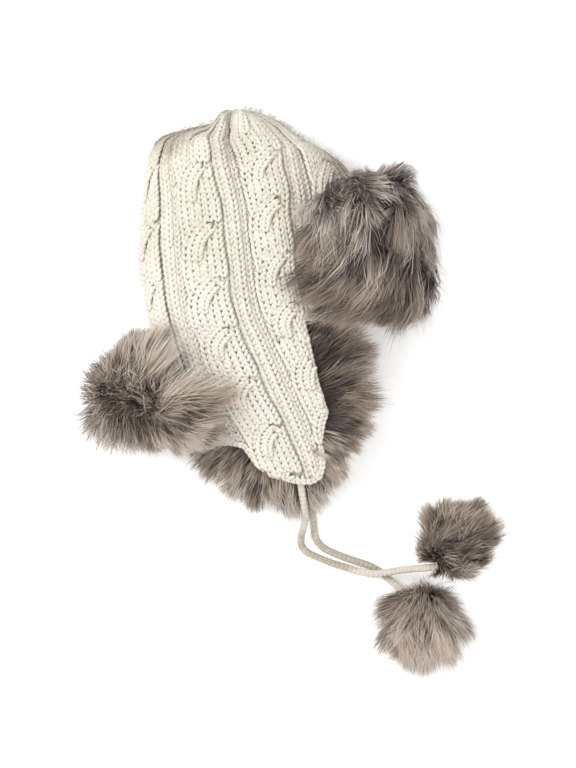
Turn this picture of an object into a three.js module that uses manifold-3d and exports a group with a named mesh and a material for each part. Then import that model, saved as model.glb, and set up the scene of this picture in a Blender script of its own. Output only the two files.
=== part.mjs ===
// A cable knit trapper hat, lying on its side on a surface.
// Millimetres. +Z is up, +Y runs from the flaps to the top of the crown, +X runs from the nape to the brow.
// The near side of the hat faces up and the far side lies flat on the surface, z = 0.
import * as THREE from "three";
import { mergeVertices } from "three/addons/utils/BufferGeometryUtils.js";
import Module from "manifold-3d";

const wasm = await Module();
wasm.setup();

// The knit
const WALL = 6;
const REPEATS = 9;
const HALF_REPEATS = 2 * REPEATS;
const CABLE_PERIOD = 53;
const RIB_HALF = 0.34;
const RIB_RISE = 1.5;
const GUTTER_DEPTH = 1.8;
const CABLE_RISE = 4.2;
const CABLE_TWIST = 1.5;
const CROSSING_Y = 130;

// The fur, its clearance to what it lies on, and the cords
const CLEARANCE = 0.5;
const FUR_SEAT = CABLE_RISE + CABLE_TWIST + 2 * CLEARANCE;
const FLAP_FUR_SEAT = 0.9;
const FLAP_PAD_SHARE = 0.78;
const FLAP_LOCKS = { count: 14, width: 15 };
const FLAP_PADS = { near: { thick: 13, seed: 5 }, far: { thick: 10, seed: 31 } };
const TIE_WIDTH = 8;
const TIE_THICKNESS = 7;
const TIE_CHANNEL = 0.6;
const POMPOM_CORE = 31;
const POMPOM_LOCKS = { count: 22, width: 15 };
const GOLDEN_ANGLE = Math.PI * (3 - Math.sqrt(5));

// From the place that the tables below count from to the frame's origin
const ORIGIN_SHIFT = { x: 0.5, y: 4.5 };

// Columns of the knit are counted in half repeats: 0 is the first rib, 1 the cable towards the brow.
const NAPE = -3.9;
const BROW = 5.1;

// Cross sections from below the flap tips (0) to the middle of the crown's top (20).
// share: where the first rib lies on the near half, from nape to brow.
// napePitch and browPitch: half a repeat beside that rib, towards the nape and towards the brow.
const SECTIONS = table(
  ["y", "nape", "brow", "top", "sole", "share", "napePitch", "browPitch"],
  [
    [-215, -50, 120, 46, 0, 0.714, 30, 30],
    [-190, -56, 120, 50, 0, 0.69, 32, 32],
    [-165, -62, 120, 55, 0, 0.658, 34, 34],
    [-135, -70, 120, 61, 0, 0.622, 36, 35],
    [-110, -78, 120, 68, 0, 0.589, 39, 37],
    [-85, -86, 120, 77, 0, 0.554, 42.5, 38.5],
    [-55, -92, 120, 88, 0, 0.511, 43.5, 38.5],
    [-25, -99, 120, 97, 0, 0.476, 42, 37.5],
    [-3, -105, 120, 103, 0, 0.453, 39.5, 36],
    [25, -111, 121, 107, 0, 0.443, 37.5, 34.5],
    [55, -115, 120, 109, 0, 0.441, 36.8, 33.5],
    [85, -114, 118, 109, 0, 0.43, 36.5, 33],
    [115, -111, 108, 108, 0, 0.424, 35.5, 35.3],
    [147, -108, 86, 104, 0, 0.421, 34, 38.7],
    [162, -103, 69, 99, 3, 0.425, 31.5, 40.5],
    [176, -97, 45, 91, 9, 0.44, 28, 37],
    [186, -88, 30, 83, 17, 0.444, 23, 33],
    [193, -76, 21, 75, 26, 0.436, 19, 26],
    [199, -60, 9, 67, 36, 0.42, 14, 18],
    [203, -42, -6, 60, 45, 0.43, 8, 9],
    [205, -26, -21, 55, 51, 0.43, 2, 2],
  ],
);
const TOP_ROW = SECTIONS.length - 1;
const WIDEST_SHARE = 0.42;
const NEAR_POWER = 2.4;
const FAR_POWER = 2.8;
const ARC_STEPS = 48;
const MOST_SPREAD = 1.9;

// The lower edge of the near side from nape to brow; the far side mirrors it.
const RIM = table(
  ["column", "y"],
  [
    [-3.9, -127],
    [-2.1, -127],
    [-1.72, -130],
    [-1.55, -150],
    [-1.3, -159],
    [-0.6, -166],
    [-0.2, -166],
    [0.1, -161],
    [0.34, -150],
    [0.5, -125],
    [0.75, -108],
    [0.95, -98],
    [1.03, -70],
    [1.2, -42],
    [1.35, -20],
    [1.5, -2],
    [2.2, 4],
    [3.2, 0],
    [5.1, -3],
  ],
);

// The deep fold between the first rib and the cable towards the brow, and the bulge beside it.
const FOLD = table(
  ["row", "depth", "bulge"],
  [
    [4, 1, 0],
    [8, 3, 1],
    [10, 4, 1.5],
    [12, 7, 3],
    [14, 12, 4],
    [16, 15, 4],
    [18, 9, 2],
    [20, 0, 0],
  ],
);
const FOLD_COLUMN = 0.42;
const FOLD_WIDTH = 0.42;
const BULGE_COLUMN = 1.3;
const BULGE_WIDTH = 0.7;
const NAPE_LOBE_DROP = 13;

// Where the far side stands up off the surface on the fur cuffs beneath it: columns, rows, height.
const CUFF_LIFTS = table(
  ["from", "to", "low", "high", "soft", "lift"],
  [
    [4.9, 8.1, 8, 12.5, 1.2, 17],
    [13.0, 14.6, 3, 7.5, 0.8, 15],
  ],
);
const LIFT_REACH = 45;
const LIFT_ROW_SOFTNESS = 1.5;

// The visor cuff and the neck cuff: columns, rows, thickness at the middle and the lay of the fur.
const VISOR = { from: 2.3, to: 7.9, low: 8.4, high: 12.5, thick: 61, edge: 15 };
const NECK = { from: -5.7, to: -2.1, low: 3.6, high: 6.9, thick: 66, edge: 13 };
const CUFF_POWER = 2.6;
const VISOR_LOWEST = -12.5;
const NECK_BROW_END = -40;

// The outlines of the flap furs round the middle of each flap: direction in degrees, reach.
const FLAP_MIDDLE = { x: 26, y: -112 };
const FLAP_FUR = table(
  ["angle", "reach"],
  [
    [0, 80],
    [30, 96],
    [60, 100],
    [90, 92],
    [120, 66],
    [150, 48],
    [180, 58],
    [210, 76],
    [240, 88],
    [270, 94],
    [300, 96],
    [330, 88],
    [360, 80],
  ],
);

// The routes of the ties, from the flap tips to the pompoms.
const NEAR_TIE = [
  [44.5, -168.2, 47],
  [45.5, -174, 46],
  [46.5, -181, 44],
  [48, -190, 40],
  [49, -199, 34],
  [49, -208, 26],
  [47, -216, 17],
  [45.2, -224, 9],
  [45.5, -232, 4.6],
  [50, -238.5, 4],
  [60, -243.5, 4],
  [76, -250, 4],
  [93, -255.4, 4.5],
  [106, -259, 7.5],
  [119, -260.6, 12],
  [131, -259.2, 15],
  [145, -256.5, 20],
  [159, -254.6, 29],
  [172, -253.2, 38],
  [184, -252, 44],
];
const FAR_TIE = [
  [44.5, -168.5, 4],
  [48, -176, 4],
  [52, -186, 4],
  [55.5, -197, 4],
  [57.8, -209, 4],
  [59, -220, 4],
  [61.5, -228, 4],
  [67.5, -234.5, 4],
  [77, -239.4, 4],
  [90, -244.6, 4],
  [104, -249.2, 4],
  [116, -253.6, 4],
  [127, -260.3, 4],
  [136, -268, 5.5],
  [145, -275.5, 12],
  [153, -281.5, 22],
];

// The pompoms: the middle of the core, the way the fur streams, and the reach of the locks.
const NEAR_POMPOM = { x: 197, y: -230, z: 41, reach: 49, stream: [0.1, 0.25, 0], pull: 0.2 };
const FAR_POMPOM = { x: 168, y: -300, z: 37, reach: 51, stream: [-0.1, -0.9, 0], pull: 0.55 };

const UP = new THREE.Vector3(0, 0, 1);

function table(columns, rows) {
  return rows.map((row) => Object.fromEntries(columns.map((name, i) => [name, row[i]])));
}

function clamp(value, low, high) {
  return Math.min(high, Math.max(low, value));
}

function smooth(from, to, value) {
  const t = clamp((value - from) / (to - from), 0, 1);
  return t * t * (3 - 2 * t);
}

// A smooth bump, 1 between from and to, that falls to 0 over the soft width outside them.
function plateau(value, from, to, soft) {
  return smooth(from - soft, from, value) * (1 - smooth(to, to + soft, value));
}

function bell(value, middle, width) {
  return Math.exp(-(((value - middle) / width) ** 2));
}

// A value in 0..1 that depends only on the number it is given.
function scatter(seed) {
  const wave = Math.sin(seed * 12.9898 + 4.1414) * 43758.5453;
  return wave - Math.floor(wave);
}

// A row of a table at a fractional position, by a curve through its rows.
function rowAt(rows, position) {
  const last = rows.length - 1;
  const at = clamp(position, 0, last);
  const i = Math.min(Math.floor(at), last - 1);
  const t = at - i;
  const out = {};
  for (const name of Object.keys(rows[0])) {
    const before = rows[Math.max(i - 1, 0)][name];
    const here = rows[i][name];
    const next = rows[i + 1][name];
    const after = rows[Math.min(i + 2, last)][name];
    const slopeHere = (next - before) / 2;
    const slopeNext = (after - here) / 2;
    const rise = next - here;
    const bend = 2 * slopeHere + slopeNext;
    out[name] =
      here + t * (slopeHere + t * (3 * rise - bend + t * (slopeHere + slopeNext - 2 * rise)));
  }
  return out;
}

// A column of a table looked up by another, in straight steps.
function lookUp(rows, key, name, value) {
  const last = rows.length - 1;
  if (value <= rows[0][key]) return rows[0][name];
  if (value >= rows[last][key]) return rows[last][name];
  const i = rows.findIndex((row) => row[key] > value);
  const t = (value - rows[i - 1][key]) / (rows[i][key] - rows[i - 1][key]);
  return rows[i - 1][name] + t * (rows[i][name] - rows[i - 1][name]);
}

// The section row at a height y up the hat.
function rowOfY(y) {
  let low = 0;
  let high = TOP_ROW;
  while (high - low > 1e-5) {
    const middle = (low + high) / 2;
    if (rowAt(SECTIONS, middle).y < y) low = middle;
    else high = middle;
  }
  return (low + high) / 2;
}

// One half of a section as points from nape to brow, with the length along them.
const arcs = new Map();
function halfArc(row, near) {
  const key = row.toFixed(4) + near;
  if (arcs.has(key)) return arcs.get(key);
  const section = rowAt(SECTIONS, row);
  const middle = (section.nape + section.brow) / 2;
  const reach = (section.brow - section.nape) / 2;
  const widest = section.sole + WIDEST_SHARE * (section.top - section.sole);
  const rise = (near ? section.top : section.sole) - widest;
  const power = 2 / (near ? NEAR_POWER : FAR_POWER);
  const points = [];
  let length = 0;
  for (let i = 0; i <= ARC_STEPS; i++) {
    const angle = (Math.PI * i) / ARC_STEPS;
    const across = Math.cos(angle);
    const x = middle - Math.sign(across) * reach * Math.abs(across) ** power;
    const z = widest + rise * Math.sin(angle) ** power;
    const before = points[i - 1];
    if (before) length += Math.hypot(x - before.x, z - before.z);
    points.push({ x, z, length });
  }
  const arc = { section, points, length };
  arcs.set(key, arc);
  return arc;
}

// Where a column lies on a half section, as a share of its length from the nape.
function columnShare(arc, column) {
  const { share, napePitch, browPitch } = arc.section;
  if (column < 0) {
    const t = column / NAPE;
    const start = Math.min(MOST_SPREAD, (napePitch * -NAPE) / (share * arc.length));
    return share * (1 - t * (start + (1 - start) * t));
  }
  const t = column / BROW;
  const start = Math.min(MOST_SPREAD, (browPitch * BROW) / ((1 - share) * arc.length));
  return share + (1 - share) * t * (start + (1 - start) * t);
}

// The middle surface of the hat without its folds and stitches.
function form(column, row) {
  const turns = Math.floor((column - NAPE) / HALF_REPEATS);
  const inTurn = column - turns * HALF_REPEATS;
  const near = inTurn <= BROW;
  const arc = halfArc(row, near);
  const nearArc = halfArc(row, true);
  const length = arc.length * columnShare(nearArc, near ? inTurn : 2 * BROW - inTurn);
  const x = lookUp(arc.points, "length", "x", length);
  let z = lookUp(arc.points, "length", "z", length);
  const aroundFar = inTurn < 0 ? inTurn + HALF_REPEATS : inTurn;
  for (const cuff of CUFF_LIFTS) {
    const across = plateau(aroundFar, cuff.from, cuff.to, cuff.soft);
    const along = plateau(row, cuff.low, cuff.high, LIFT_ROW_SOFTNESS);
    z += cuff.lift * across * along * clamp(1 - z / LIFT_REACH, 0, 1);
  }
  const lobe = smooth(-30, -48, x) * smooth(165, 203, arc.section.y);
  return new THREE.Vector3(x, arc.section.y - NAPE_LOBE_DROP * lobe, z);
}

function formNormal(column, row) {
  const step = 0.05;
  const low = Math.max(row - step, 0);
  const high = Math.min(row + step, TOP_ROW);
  const along = form(column, high).sub(form(column, low));
  const round = form(column + step, row).sub(form(column - step, row));
  return round.cross(along).normalize();
}

function foldRise(column, row) {
  const depth = lookUp(FOLD, "row", "depth", row);
  const bulge = lookUp(FOLD, "row", "bulge", row);
  return bulge * bell(column, BULGE_COLUMN, BULGE_WIDTH) - depth * bell(column, FOLD_COLUMN, FOLD_WIDTH);
}

// Ribs, gutters and cables as a rise above the middle surface.
function stitchRise(column, y) {
  const repeat = ((column % 2) + 2) % 2;
  const fromRib = repeat > 1 ? 2 - repeat : repeat;
  if (fromRib <= RIB_HALF) {
    return RIB_RISE - (RIB_RISE + GUTTER_DEPTH) * (fromRib / RIB_HALF) ** 2;
  }
  const across = (repeat - 1) / (1 - RIB_HALF);
  const phase = (y - CROSSING_Y) / CABLE_PERIOD;
  const crown = Math.sqrt(Math.max(0, 1 - across * across));
  const twist = CABLE_TWIST * Math.cos(2 * Math.PI * (phase + 0.35 * across));
  return (CABLE_RISE + GUTTER_DEPTH + twist) * crown - GUTTER_DEPTH;
}

// A point a given height above the folded knit, never below the surface it lies on.
function skin(column, row, height, floor) {
  const point = form(column, row);
  const rise = foldRise(column, row) + height;
  point.addScaledVector(formNormal(column, row), rise);
  point.z = Math.max(point.z, floor);
  return point;
}

function rimRow(column) {
  const inTurn = ((((column - NAPE) % HALF_REPEATS) + HALF_REPEATS) % HALF_REPEATS) + NAPE;
  const near = inTurn <= BROW ? inTurn : 2 * BROW - inTurn;
  return rowOfY(lookUp(RIM, "column", "y", near));
}

// A closed body from points and triangles.
function bodyOf(points, faces) {
  const geometry = new THREE.BufferGeometry().setFromPoints(points);
  geometry.setIndex(faces.flat());
  return geometry;
}

function solidOf(geometry, fineness = 1e-4) {
  const bare = geometry.index ? geometry.toNonIndexed() : geometry.clone();
  for (const name of ["normal", "uv"]) bare.deleteAttribute(name);
  const merged = mergeVertices(bare, fineness);
  const solid = new wasm.Manifold(
    new wasm.Mesh({
      numProp: 3,
      vertProperties: new Float32Array(merged.attributes.position.array),
      triVerts: new Uint32Array(merged.index.array),
    }),
  );
  return solid;
}

// The largest body of a solid, so that a lock's tip that a cut frees is left out.
function largestOf(solid) {
  return solid.decompose().sort((a, b) => b.volume() - a.volume())[0];
}

// Points nearer than the mesh's own fineness are one, and slivers that a cut leaves are dropped.
function tidied(solid) {
  return largestOf(solidOf(geometryOf(largestOf(solid)), 1e-3));
}

function geometryOf(solid) {
  const mesh = solid.getMesh();
  const geometry = new THREE.BufferGeometry();
  geometry.setAttribute("position", new THREE.BufferAttribute(new Float32Array(mesh.vertProperties), 3));
  geometry.setIndex(new THREE.BufferAttribute(new Uint32Array(mesh.triVerts), 1));
  geometry.computeVertexNormals();
  return geometry;
}

function boxBetween(low, high) {
  const size = high.map((value, i) => value - low[i]);
  const box = new THREE.BoxGeometry(...size);
  box.translate(...low.map((value, i) => value + size[i] / 2));
  return solidOf(box);
}

// Columns that a sheet of the knit is made through: a few for each repeat and each flap edge.
const FIRST_RIB = -3.3;
const FLAP_EDGES = [-1.72, 0.95, 1.05, 1.24, 1.36];
const LEAST_COLUMN_STEP = 0.09;
const COARSE_REPEAT = [-RIB_HALF, RIB_HALF, 1];
const FINE_REPEAT = [-RIB_HALF, 0, RIB_HALF, 0.56, 0.85, 1.15, 1.44];
function sheetColumns(inRepeat) {
  const columns = [];
  for (let repeat = 0; repeat < REPEATS; repeat++) {
    for (const offset of inRepeat) columns.push(2 * repeat + FIRST_RIB + offset);
  }
  for (const edge of FLAP_EDGES) columns.push(edge, 2 * BROW - edge);
  const wrapped = columns.map((c) => ((((c - NAPE) % HALF_REPEATS) + HALF_REPEATS) % HALF_REPEATS) + NAPE);
  wrapped.sort((a, b) => a - b);
  return wrapped.filter((c, i) => i === 0 || c - wrapped[i - 1] > LEAST_COLUMN_STEP);
}

// Row positions from the rim to the top: even below the split, and by length over the crown.
const SPLIT_ROW = 9.5;
const ROW_LENGTH = 25;
function crownRows(count) {
  const samples = [];
  let length = 0;
  let before = form(1, SPLIT_ROW);
  for (let row = SPLIT_ROW; row <= TOP_ROW + 1e-9; row += 0.05) {
    const point = form(1, row);
    length += point.distanceTo(before);
    samples.push({ row, length });
    before = point;
  }
  return Array.from({ length: count }, (_, i) =>
    lookUp(samples, "length", "row", (length * (i + 1)) / (count + 0.6)),
  );
}

// One sheet of points, from the rim to the last ring before the top point.
function sheet(columns, lowerCount, upperRows, rimDrop, pointAt) {
  return columns.map((column) => {
    const rim = rimRow(column) - rimDrop;
    const rows = [];
    for (let i = 0; i <= lowerCount; i++) rows.push(rim + ((SPLIT_ROW - rim) * i) / lowerCount);
    return [...rows, ...upperRows].map((row) => pointAt(column, row));
  });
}

// The knitted body: an outer sheet with its relief, an inner sheet, and the rim between them.
// With grow it is that much thicker all round, to cut what lies on it clear of it.
function crownKnit(grow) {
  const outerColumns = sheetColumns(FINE_REPEAT);
  const innerColumns = sheetColumns(COARSE_REPEAT);
  const outerPoint = (column, row) => {
    const y = rowAt(SECTIONS, row).y;
    const fade = 1 - smooth(17, 19.5, row);
    return skin(column, row, fade * stitchRise(column, y) + grow, -grow);
  };
  const innerPoint = (column, row) => {
    const point = form(column, row);
    const follow = smooth(7, 12, row);
    const depth = follow * Math.min(0, foldRise(column, row)) - WALL - grow;
    const inner = point.addScaledVector(formNormal(column, row), depth);
    inner.z = Math.max(inner.z, WALL + grow);
    return inner;
  };
  const rimDrop = grow / ROW_LENGTH;
  const outer = sheet(outerColumns, 9, crownRows(14), rimDrop, outerPoint);
  const inner = sheet(innerColumns, 5, crownRows(7), rimDrop, innerPoint);
  const points = [];
  const faces = [];
  const addSheet = (columns, topPoint, outward) => {
    const first = points.length;
    const height = columns[0].length;
    for (const column of columns) points.push(...column);
    const index = (i, j) => first + (i % columns.length) * height + j;
    const face = (a, b, c) => faces.push(outward ? [a, c, b] : [a, b, c]);
    for (let i = 0; i < columns.length; i++) {
      for (let j = 0; j < height - 1; j++) {
        face(index(i, j), index(i, j + 1), index(i + 1, j + 1));
        face(index(i, j), index(i + 1, j + 1), index(i + 1, j));
      }
    }
    const top = points.length;
    points.push(topPoint);
    for (let i = 0; i < columns.length; i++) face(index(i, height - 1), top, index(i + 1, height - 1));
    return columns.map((_, i) => index(i, 0));
  };
  const last = SECTIONS[TOP_ROW];
  const topMiddle = new THREE.Vector3((last.nape + last.brow) / 2, last.y, (last.top + last.sole) / 2);
  const outerRim = addSheet(outer, topMiddle, true);
  const innerRim = addSheet(inner, topMiddle.clone().add(new THREE.Vector3(0, -WALL, 0)), false);
  let i = 0;
  let j = 0;
  const outerTurn = [...outerColumns, outerColumns[0] + HALF_REPEATS];
  const innerTurn = [...innerColumns, innerColumns[0] + HALF_REPEATS];
  while (i < outerColumns.length || j < innerColumns.length) {
    const outerNext = i < outerColumns.length ? outerTurn[i + 1] : Infinity;
    const innerNext = j < innerColumns.length ? innerTurn[j + 1] : Infinity;
    const a = outerRim[i % outerRim.length];
    const b = innerRim[j % innerRim.length];
    if (outerNext <= innerNext) {
      i += 1;
      faces.push([a, b, outerRim[i % outerRim.length]]);
    } else {
      j += 1;
      faces.push([a, b, innerRim[j % innerRim.length]]);
    }
  }
  return solidOf(bodyOf(points, faces));
}

// A patch between two surfaces, closed at its edges: a grid of low points and a grid of high points.
function slab(low, high) {
  const wide = low.length;
  const tall = low[0].length;
  const points = [...low.flat(), ...high.flat()];
  const at = (layer, i, j) => layer * wide * tall + i * tall + j;
  const faces = [];
  for (let i = 0; i < wide - 1; i++) {
    for (let j = 0; j < tall - 1; j++) {
      faces.push([at(1, i, j), at(1, i + 1, j + 1), at(1, i, j + 1)]);
      faces.push([at(1, i, j), at(1, i + 1, j), at(1, i + 1, j + 1)]);
      faces.push([at(0, i, j), at(0, i, j + 1), at(0, i + 1, j + 1)]);
      faces.push([at(0, i, j), at(0, i + 1, j + 1), at(0, i + 1, j)]);
    }
  }
  const wallBetween = (i, j, k, l) => {
    faces.push([at(0, i, j), at(1, k, l), at(1, i, j)]);
    faces.push([at(0, i, j), at(0, k, l), at(1, k, l)]);
  };
  for (let i = 0; i < wide - 1; i++) {
    wallBetween(i, 0, i + 1, 0);
    wallBetween(i + 1, tall - 1, i, tall - 1);
  }
  for (let j = 0; j < tall - 1; j++) {
    wallBetween(0, j + 1, 0, j);
    wallBetween(wide - 1, j, wide - 1, j + 1);
  }
  return solidOf(bodyOf(points, faces));
}

// One lock of fur: a tapered body along a bent path, with four sides and a point.
// Its width lies across the normal, and it is flat times as deep as it is wide.
function lock(root, direction, bend, normal, length, width, flat) {
  const sides = 4;
  const widths = [width, width * 0.85];
  const places = [0, 0.55];
  const along = direction.clone().normalize();
  const pathAt = (t) =>
    root.clone().addScaledVector(along, length * t).addScaledVector(bend, length * t * t);
  const side = normal.clone().cross(along).normalize();
  const other = along.clone().cross(side).multiplyScalar(flat);
  const points = [];
  places.forEach((place, ring) => {
    for (let k = 0; k < sides; k++) {
      const angle = (2 * Math.PI * k) / sides;
      const point = pathAt(place);
      point.addScaledVector(side, widths[ring] * Math.cos(angle));
      point.addScaledVector(other, widths[ring] * Math.sin(angle));
      points.push(point);
    }
  });
  const tip = points.length;
  points.push(pathAt(1));
  const faces = [];
  for (let k = 1; k < sides - 1; k++) faces.push([0, k + 1, k]);
  for (let k = 0; k < sides; k++) {
    const next = (k + 1) % sides;
    for (let ring = 0; ring < places.length - 1; ring++) {
      const a = ring * sides;
      faces.push([a + k, a + next, a + sides + next]);
      faces.push([a + k, a + sides + next, a + sides + k]);
    }
    const a = (places.length - 1) * sides;
    faces.push([a + k, a + next, tip]);
  }
  return solidOf(bodyOf(points, faces));
}

// A turned-up fur cuff on the outside of the knit: a padded backing with rows of locks fused to it.
function furCuff(cuff, plan) {
  const { wide, tall } = plan;
  const thickAt = (s, t) => {
    const fold = Math.sqrt(Math.max(0, 1 - Math.abs(2 * t - 1) ** CUFF_POWER));
    const ends = Math.sqrt(Math.max(0, 1 - Math.abs(2 * s - 1) ** plan.endPower));
    return cuff.edge + (cuff.thick - cuff.edge) * fold * ends;
  };
  const pointAt = (s, t, share) => {
    const column = cuff.from + (cuff.to - cuff.from) * s;
    const row = cuff.low + (cuff.high - cuff.low) * t;
    const thick = thickAt(s, t);
    const lift = FUR_SEAT + share * (thick - FUR_SEAT);
    const point = form(column, row);
    const rise = Math.max(0, foldRise(column, row)) + lift;
    point.addScaledVector(formNormal(column, row), rise);
    point.y += share * plan.lean(s, t);
    return point;
  };
  const grid = (share) =>
    Array.from({ length: wide + 1 }, (_, i) =>
      Array.from({ length: tall + 1 }, (_, j) => pointAt(i / wide, j / tall, share)),
    );
  let fur = slab(grid(0), grid(1));
  plan.locks.forEach(([s, t], i) => {
    const root = pointAt(s, t, plan.seat);
    const out = pointAt(s, t, 1).sub(pointAt(s, t, 0)).normalize();
    const flow = plan.flow(s, t);
    const direction = out.clone().multiplyScalar(plan.stand).add(flow);
    const bend = flow.clone().multiplyScalar(0.3).addScaledVector(out, -0.1);
    const length = thickAt(s, t) * (1 - plan.seat) + plan.reach * (0.85 + 0.3 * scatter(i + plan.seed));
    fur = fur.add(lock(root, direction, bend, out, length, plan.width, plan.flat));
  });
  return fur;
}

// Rows of lock places, offset from row to row.
function lockRows(across, up, inset) {
  const places = [];
  for (let j = 0; j < up; j++) {
    for (let i = 0; i < across; i++) {
      const shift = j % 2 ? 0.25 : -0.25;
      const s = inset + ((1 - 2 * inset) * (i + 0.5 + shift)) / across;
      const t = inset + ((1 - 2 * inset) * (j + 0.5)) / up;
      places.push([s, t]);
    }
  }
  return places;
}

// The body of the hat without its hollow, grown so that fur cut by it keeps clear of the knit.
function filledCrown() {
  const columns = sheetColumns(COARSE_REPEAT);
  const rows = [8, 9, 10, 11, 12, 13, 14, 15, 16, 17, 18, 19];
  const rings = rows.map((row) => columns.map((column) => skin(column, row, FUR_SEAT - 0.2, -1)));
  return ringStack(rings);
}

// A closed stack of rings of points, each ring anticlockwise seen from the stack's far end.
function ringStack(rings) {
  const count = rings[0].length;
  const points = rings.flat();
  const middleOf = (ring) =>
    ring.reduce((sum, point) => sum.add(point), new THREE.Vector3()).divideScalar(ring.length);
  const first = points.push(middleOf(rings[0])) - 1;
  const last = points.push(middleOf(rings[rings.length - 1])) - 1;
  const faces = [];
  for (let k = 0; k < count; k++) {
    const next = (k + 1) % count;
    for (let ring = 0; ring < rings.length - 1; ring++) {
      const a = ring * count;
      faces.push([a + k, a + count + next, a + count + k]);
      faces.push([a + k, a + next, a + count + next]);
    }
    const top = (rings.length - 1) * count;
    faces.push([first, next, k]);
    faces.push([top + k, top + next, last]);
  }
  return solidOf(bodyOf(points, faces));
}

// The height of the near or far half of the hat at a place, seen from above.
function heightAt(x, y, near) {
  const section = rowAt(SECTIONS, rowOfY(y));
  const middle = (section.nape + section.brow) / 2;
  const reach = (section.brow - section.nape) / 2;
  const widest = WIDEST_SHARE * section.top;
  const across = Math.min(0.97, Math.abs(x - middle) / reach);
  const power = near ? NEAR_POWER : FAR_POWER;
  const rise = (1 - across ** power) ** (1 / power);
  return near ? widest + (section.top - widest) * rise : widest * (1 - rise);
}

// The fur on the inside of a flap: a thin pad under the knit with locks out past its edge.
function flapFur(near) {
  const { thick, seed } = near ? FLAP_PADS.near : FLAP_PADS.far;
  const steps = 16;
  const shares = [0.5, 1];
  const under = near ? -1 : 1;
  const reachAt = (angle) => lookUp(FLAP_FUR, "angle", "reach", angle);
  const seatAt = (x, y) => {
    const step = 2;
    const slopeX = (heightAt(x + step, y, near) - heightAt(x - step, y, near)) / (2 * step);
    const slopeY = (heightAt(x, y + step, near) - heightAt(x, y - step, near)) / (2 * step);
    const seat = (WALL + FLAP_FUR_SEAT) * Math.min(1.6, Math.hypot(1, slopeX, slopeY));
    return heightAt(x, y, near) + under * seat;
  };
  const padPoint = (angle, share, layer) => {
    const reach = reachAt(angle) * FLAP_PAD_SHARE * share;
    const x = FLAP_MIDDLE.x + reach * Math.cos(THREE.MathUtils.degToRad(angle));
    const y = FLAP_MIDDLE.y + reach * Math.sin(THREE.MathUtils.degToRad(angle));
    const depth = thick * (1 - 0.45 * share ** 4);
    return new THREE.Vector3(x, y, seatAt(x, y) + under * layer * depth);
  };
  const ring = (share, layer) =>
    Array.from({ length: steps }, (_, k) => padPoint((360 * k) / steps, share, layer));
  const lowLayer = near ? 1 : 0;
  const lowRings = shares.map((share) => ring(share, lowLayer));
  const highRings = shares.map((share) => ring(share, 1 - lowLayer)).reverse();
  let fur = ringStack([...lowRings, ...highRings]);
  for (let k = 0; k < FLAP_LOCKS.count; k++) {
    const angle = (360 * (k + 0.5)) / FLAP_LOCKS.count;
    const turn = THREE.MathUtils.degToRad(angle);
    const reach = reachAt(angle);
    const root = padPoint(angle, 0.75, 0.5);
    const away = new THREE.Vector3(Math.cos(turn), Math.sin(turn), 0);
    const bend = new THREE.Vector3(0.1 * Math.sin(3 * turn), -0.12, 0);
    const length = reach * (1 - 0.75 * FLAP_PAD_SHARE) * (0.95 + 0.15 * scatter(k + seed));
    const width = FLAP_LOCKS.width * (0.85 + 0.3 * scatter(k + seed + 50));
    fur = fur.add(lock(root, away, bend, UP, length, width, 0.42));
  }
  return fur.subtract(knitClearance).subtract(tieChannels).subtract(floorBelow);
}

// A flat cord of eight sides along its route.
function tie(route, grow) {
  const path = new THREE.CatmullRomCurve3(route.map((point) => new THREE.Vector3(...point)));
  const section = new THREE.Shape();
  const sides = 8;
  for (let k = 0; k <= sides; k++) {
    const angle = (2 * Math.PI * (k + 0.5)) / sides;
    const x = (TIE_THICKNESS / 2 + grow) * Math.cos(angle);
    const y = (TIE_WIDTH / 2 + grow) * Math.sin(angle);
    if (k === 0) section.moveTo(x, y);
    else section.lineTo(x, y);
  }
  const steps = Math.round(path.getLength() / (2 * TIE_WIDTH)) * 2;
  return solidOf(new THREE.ExtrudeGeometry(section, { extrudePath: path, steps }));
}

// A fur pompom: a core with locks all round, which stream to one side.
function pompom(place, seed) {
  const middle = new THREE.Vector3(place.x, place.y, place.z);
  const core = new THREE.IcosahedronGeometry(POMPOM_CORE, 1).translate(place.x, place.y, place.z);
  let fur = solidOf(core);
  const stream = new THREE.Vector3(...place.stream);
  for (let k = 0; k < POMPOM_LOCKS.count; k++) {
    const up = 1 - (2 * (k + 0.5)) / POMPOM_LOCKS.count;
    const turn = k * GOLDEN_ANGLE;
    const flat = Math.sqrt(1 - up * up);
    const away = new THREE.Vector3(flat * Math.cos(turn), flat * Math.sin(turn), up);
    const root = middle.clone().addScaledVector(away, POMPOM_CORE * 0.4);
    const direction = away.clone().addScaledVector(stream, place.pull);
    const bend = stream.clone().multiplyScalar(0.3);
    const length = (place.reach - POMPOM_CORE * 0.4) * (0.92 + 0.16 * scatter(k + seed));
    const across = away.clone().cross(UP).cross(away);
    fur = fur.add(lock(root, direction, bend, across, length, POMPOM_LOCKS.width, 0.8));
  }
  return fur.subtract(tieChannels).subtract(floorBelow);
}

const floorBelow = boxBetween([-400, -500, -200], [400, 400, 0]);
const knit = crownKnit(0);
const knitClearance = crownKnit(CLEARANCE);
const crownFilled = filledCrown();
const tieChannels = tie(NEAR_TIE, TIE_CHANNEL).add(tie(FAR_TIE, TIE_CHANNEL));

function visorFur() {
  const plan = {
    wide: 10,
    tall: 5,
    endPower: 2.6,
    seat: 0.66,
    stand: 0.5,
    reach: 24,
    width: 19,
    flat: 0.55,
    seed: 3,
    lean: (s, t) => 16 * (t - 0.4),
    flow: (s, t) => new THREE.Vector3(-0.3, -0.75 + 0.45 * t, 0),
    locks: lockRows(6, 4, 0.05),
  };
  const below = boxBetween([-400, -500, -200], [400, VISOR_LOWEST, 300]);
  return furCuff(VISOR, plan).subtract(crownFilled).subtract(below).subtract(floorBelow);
}

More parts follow.
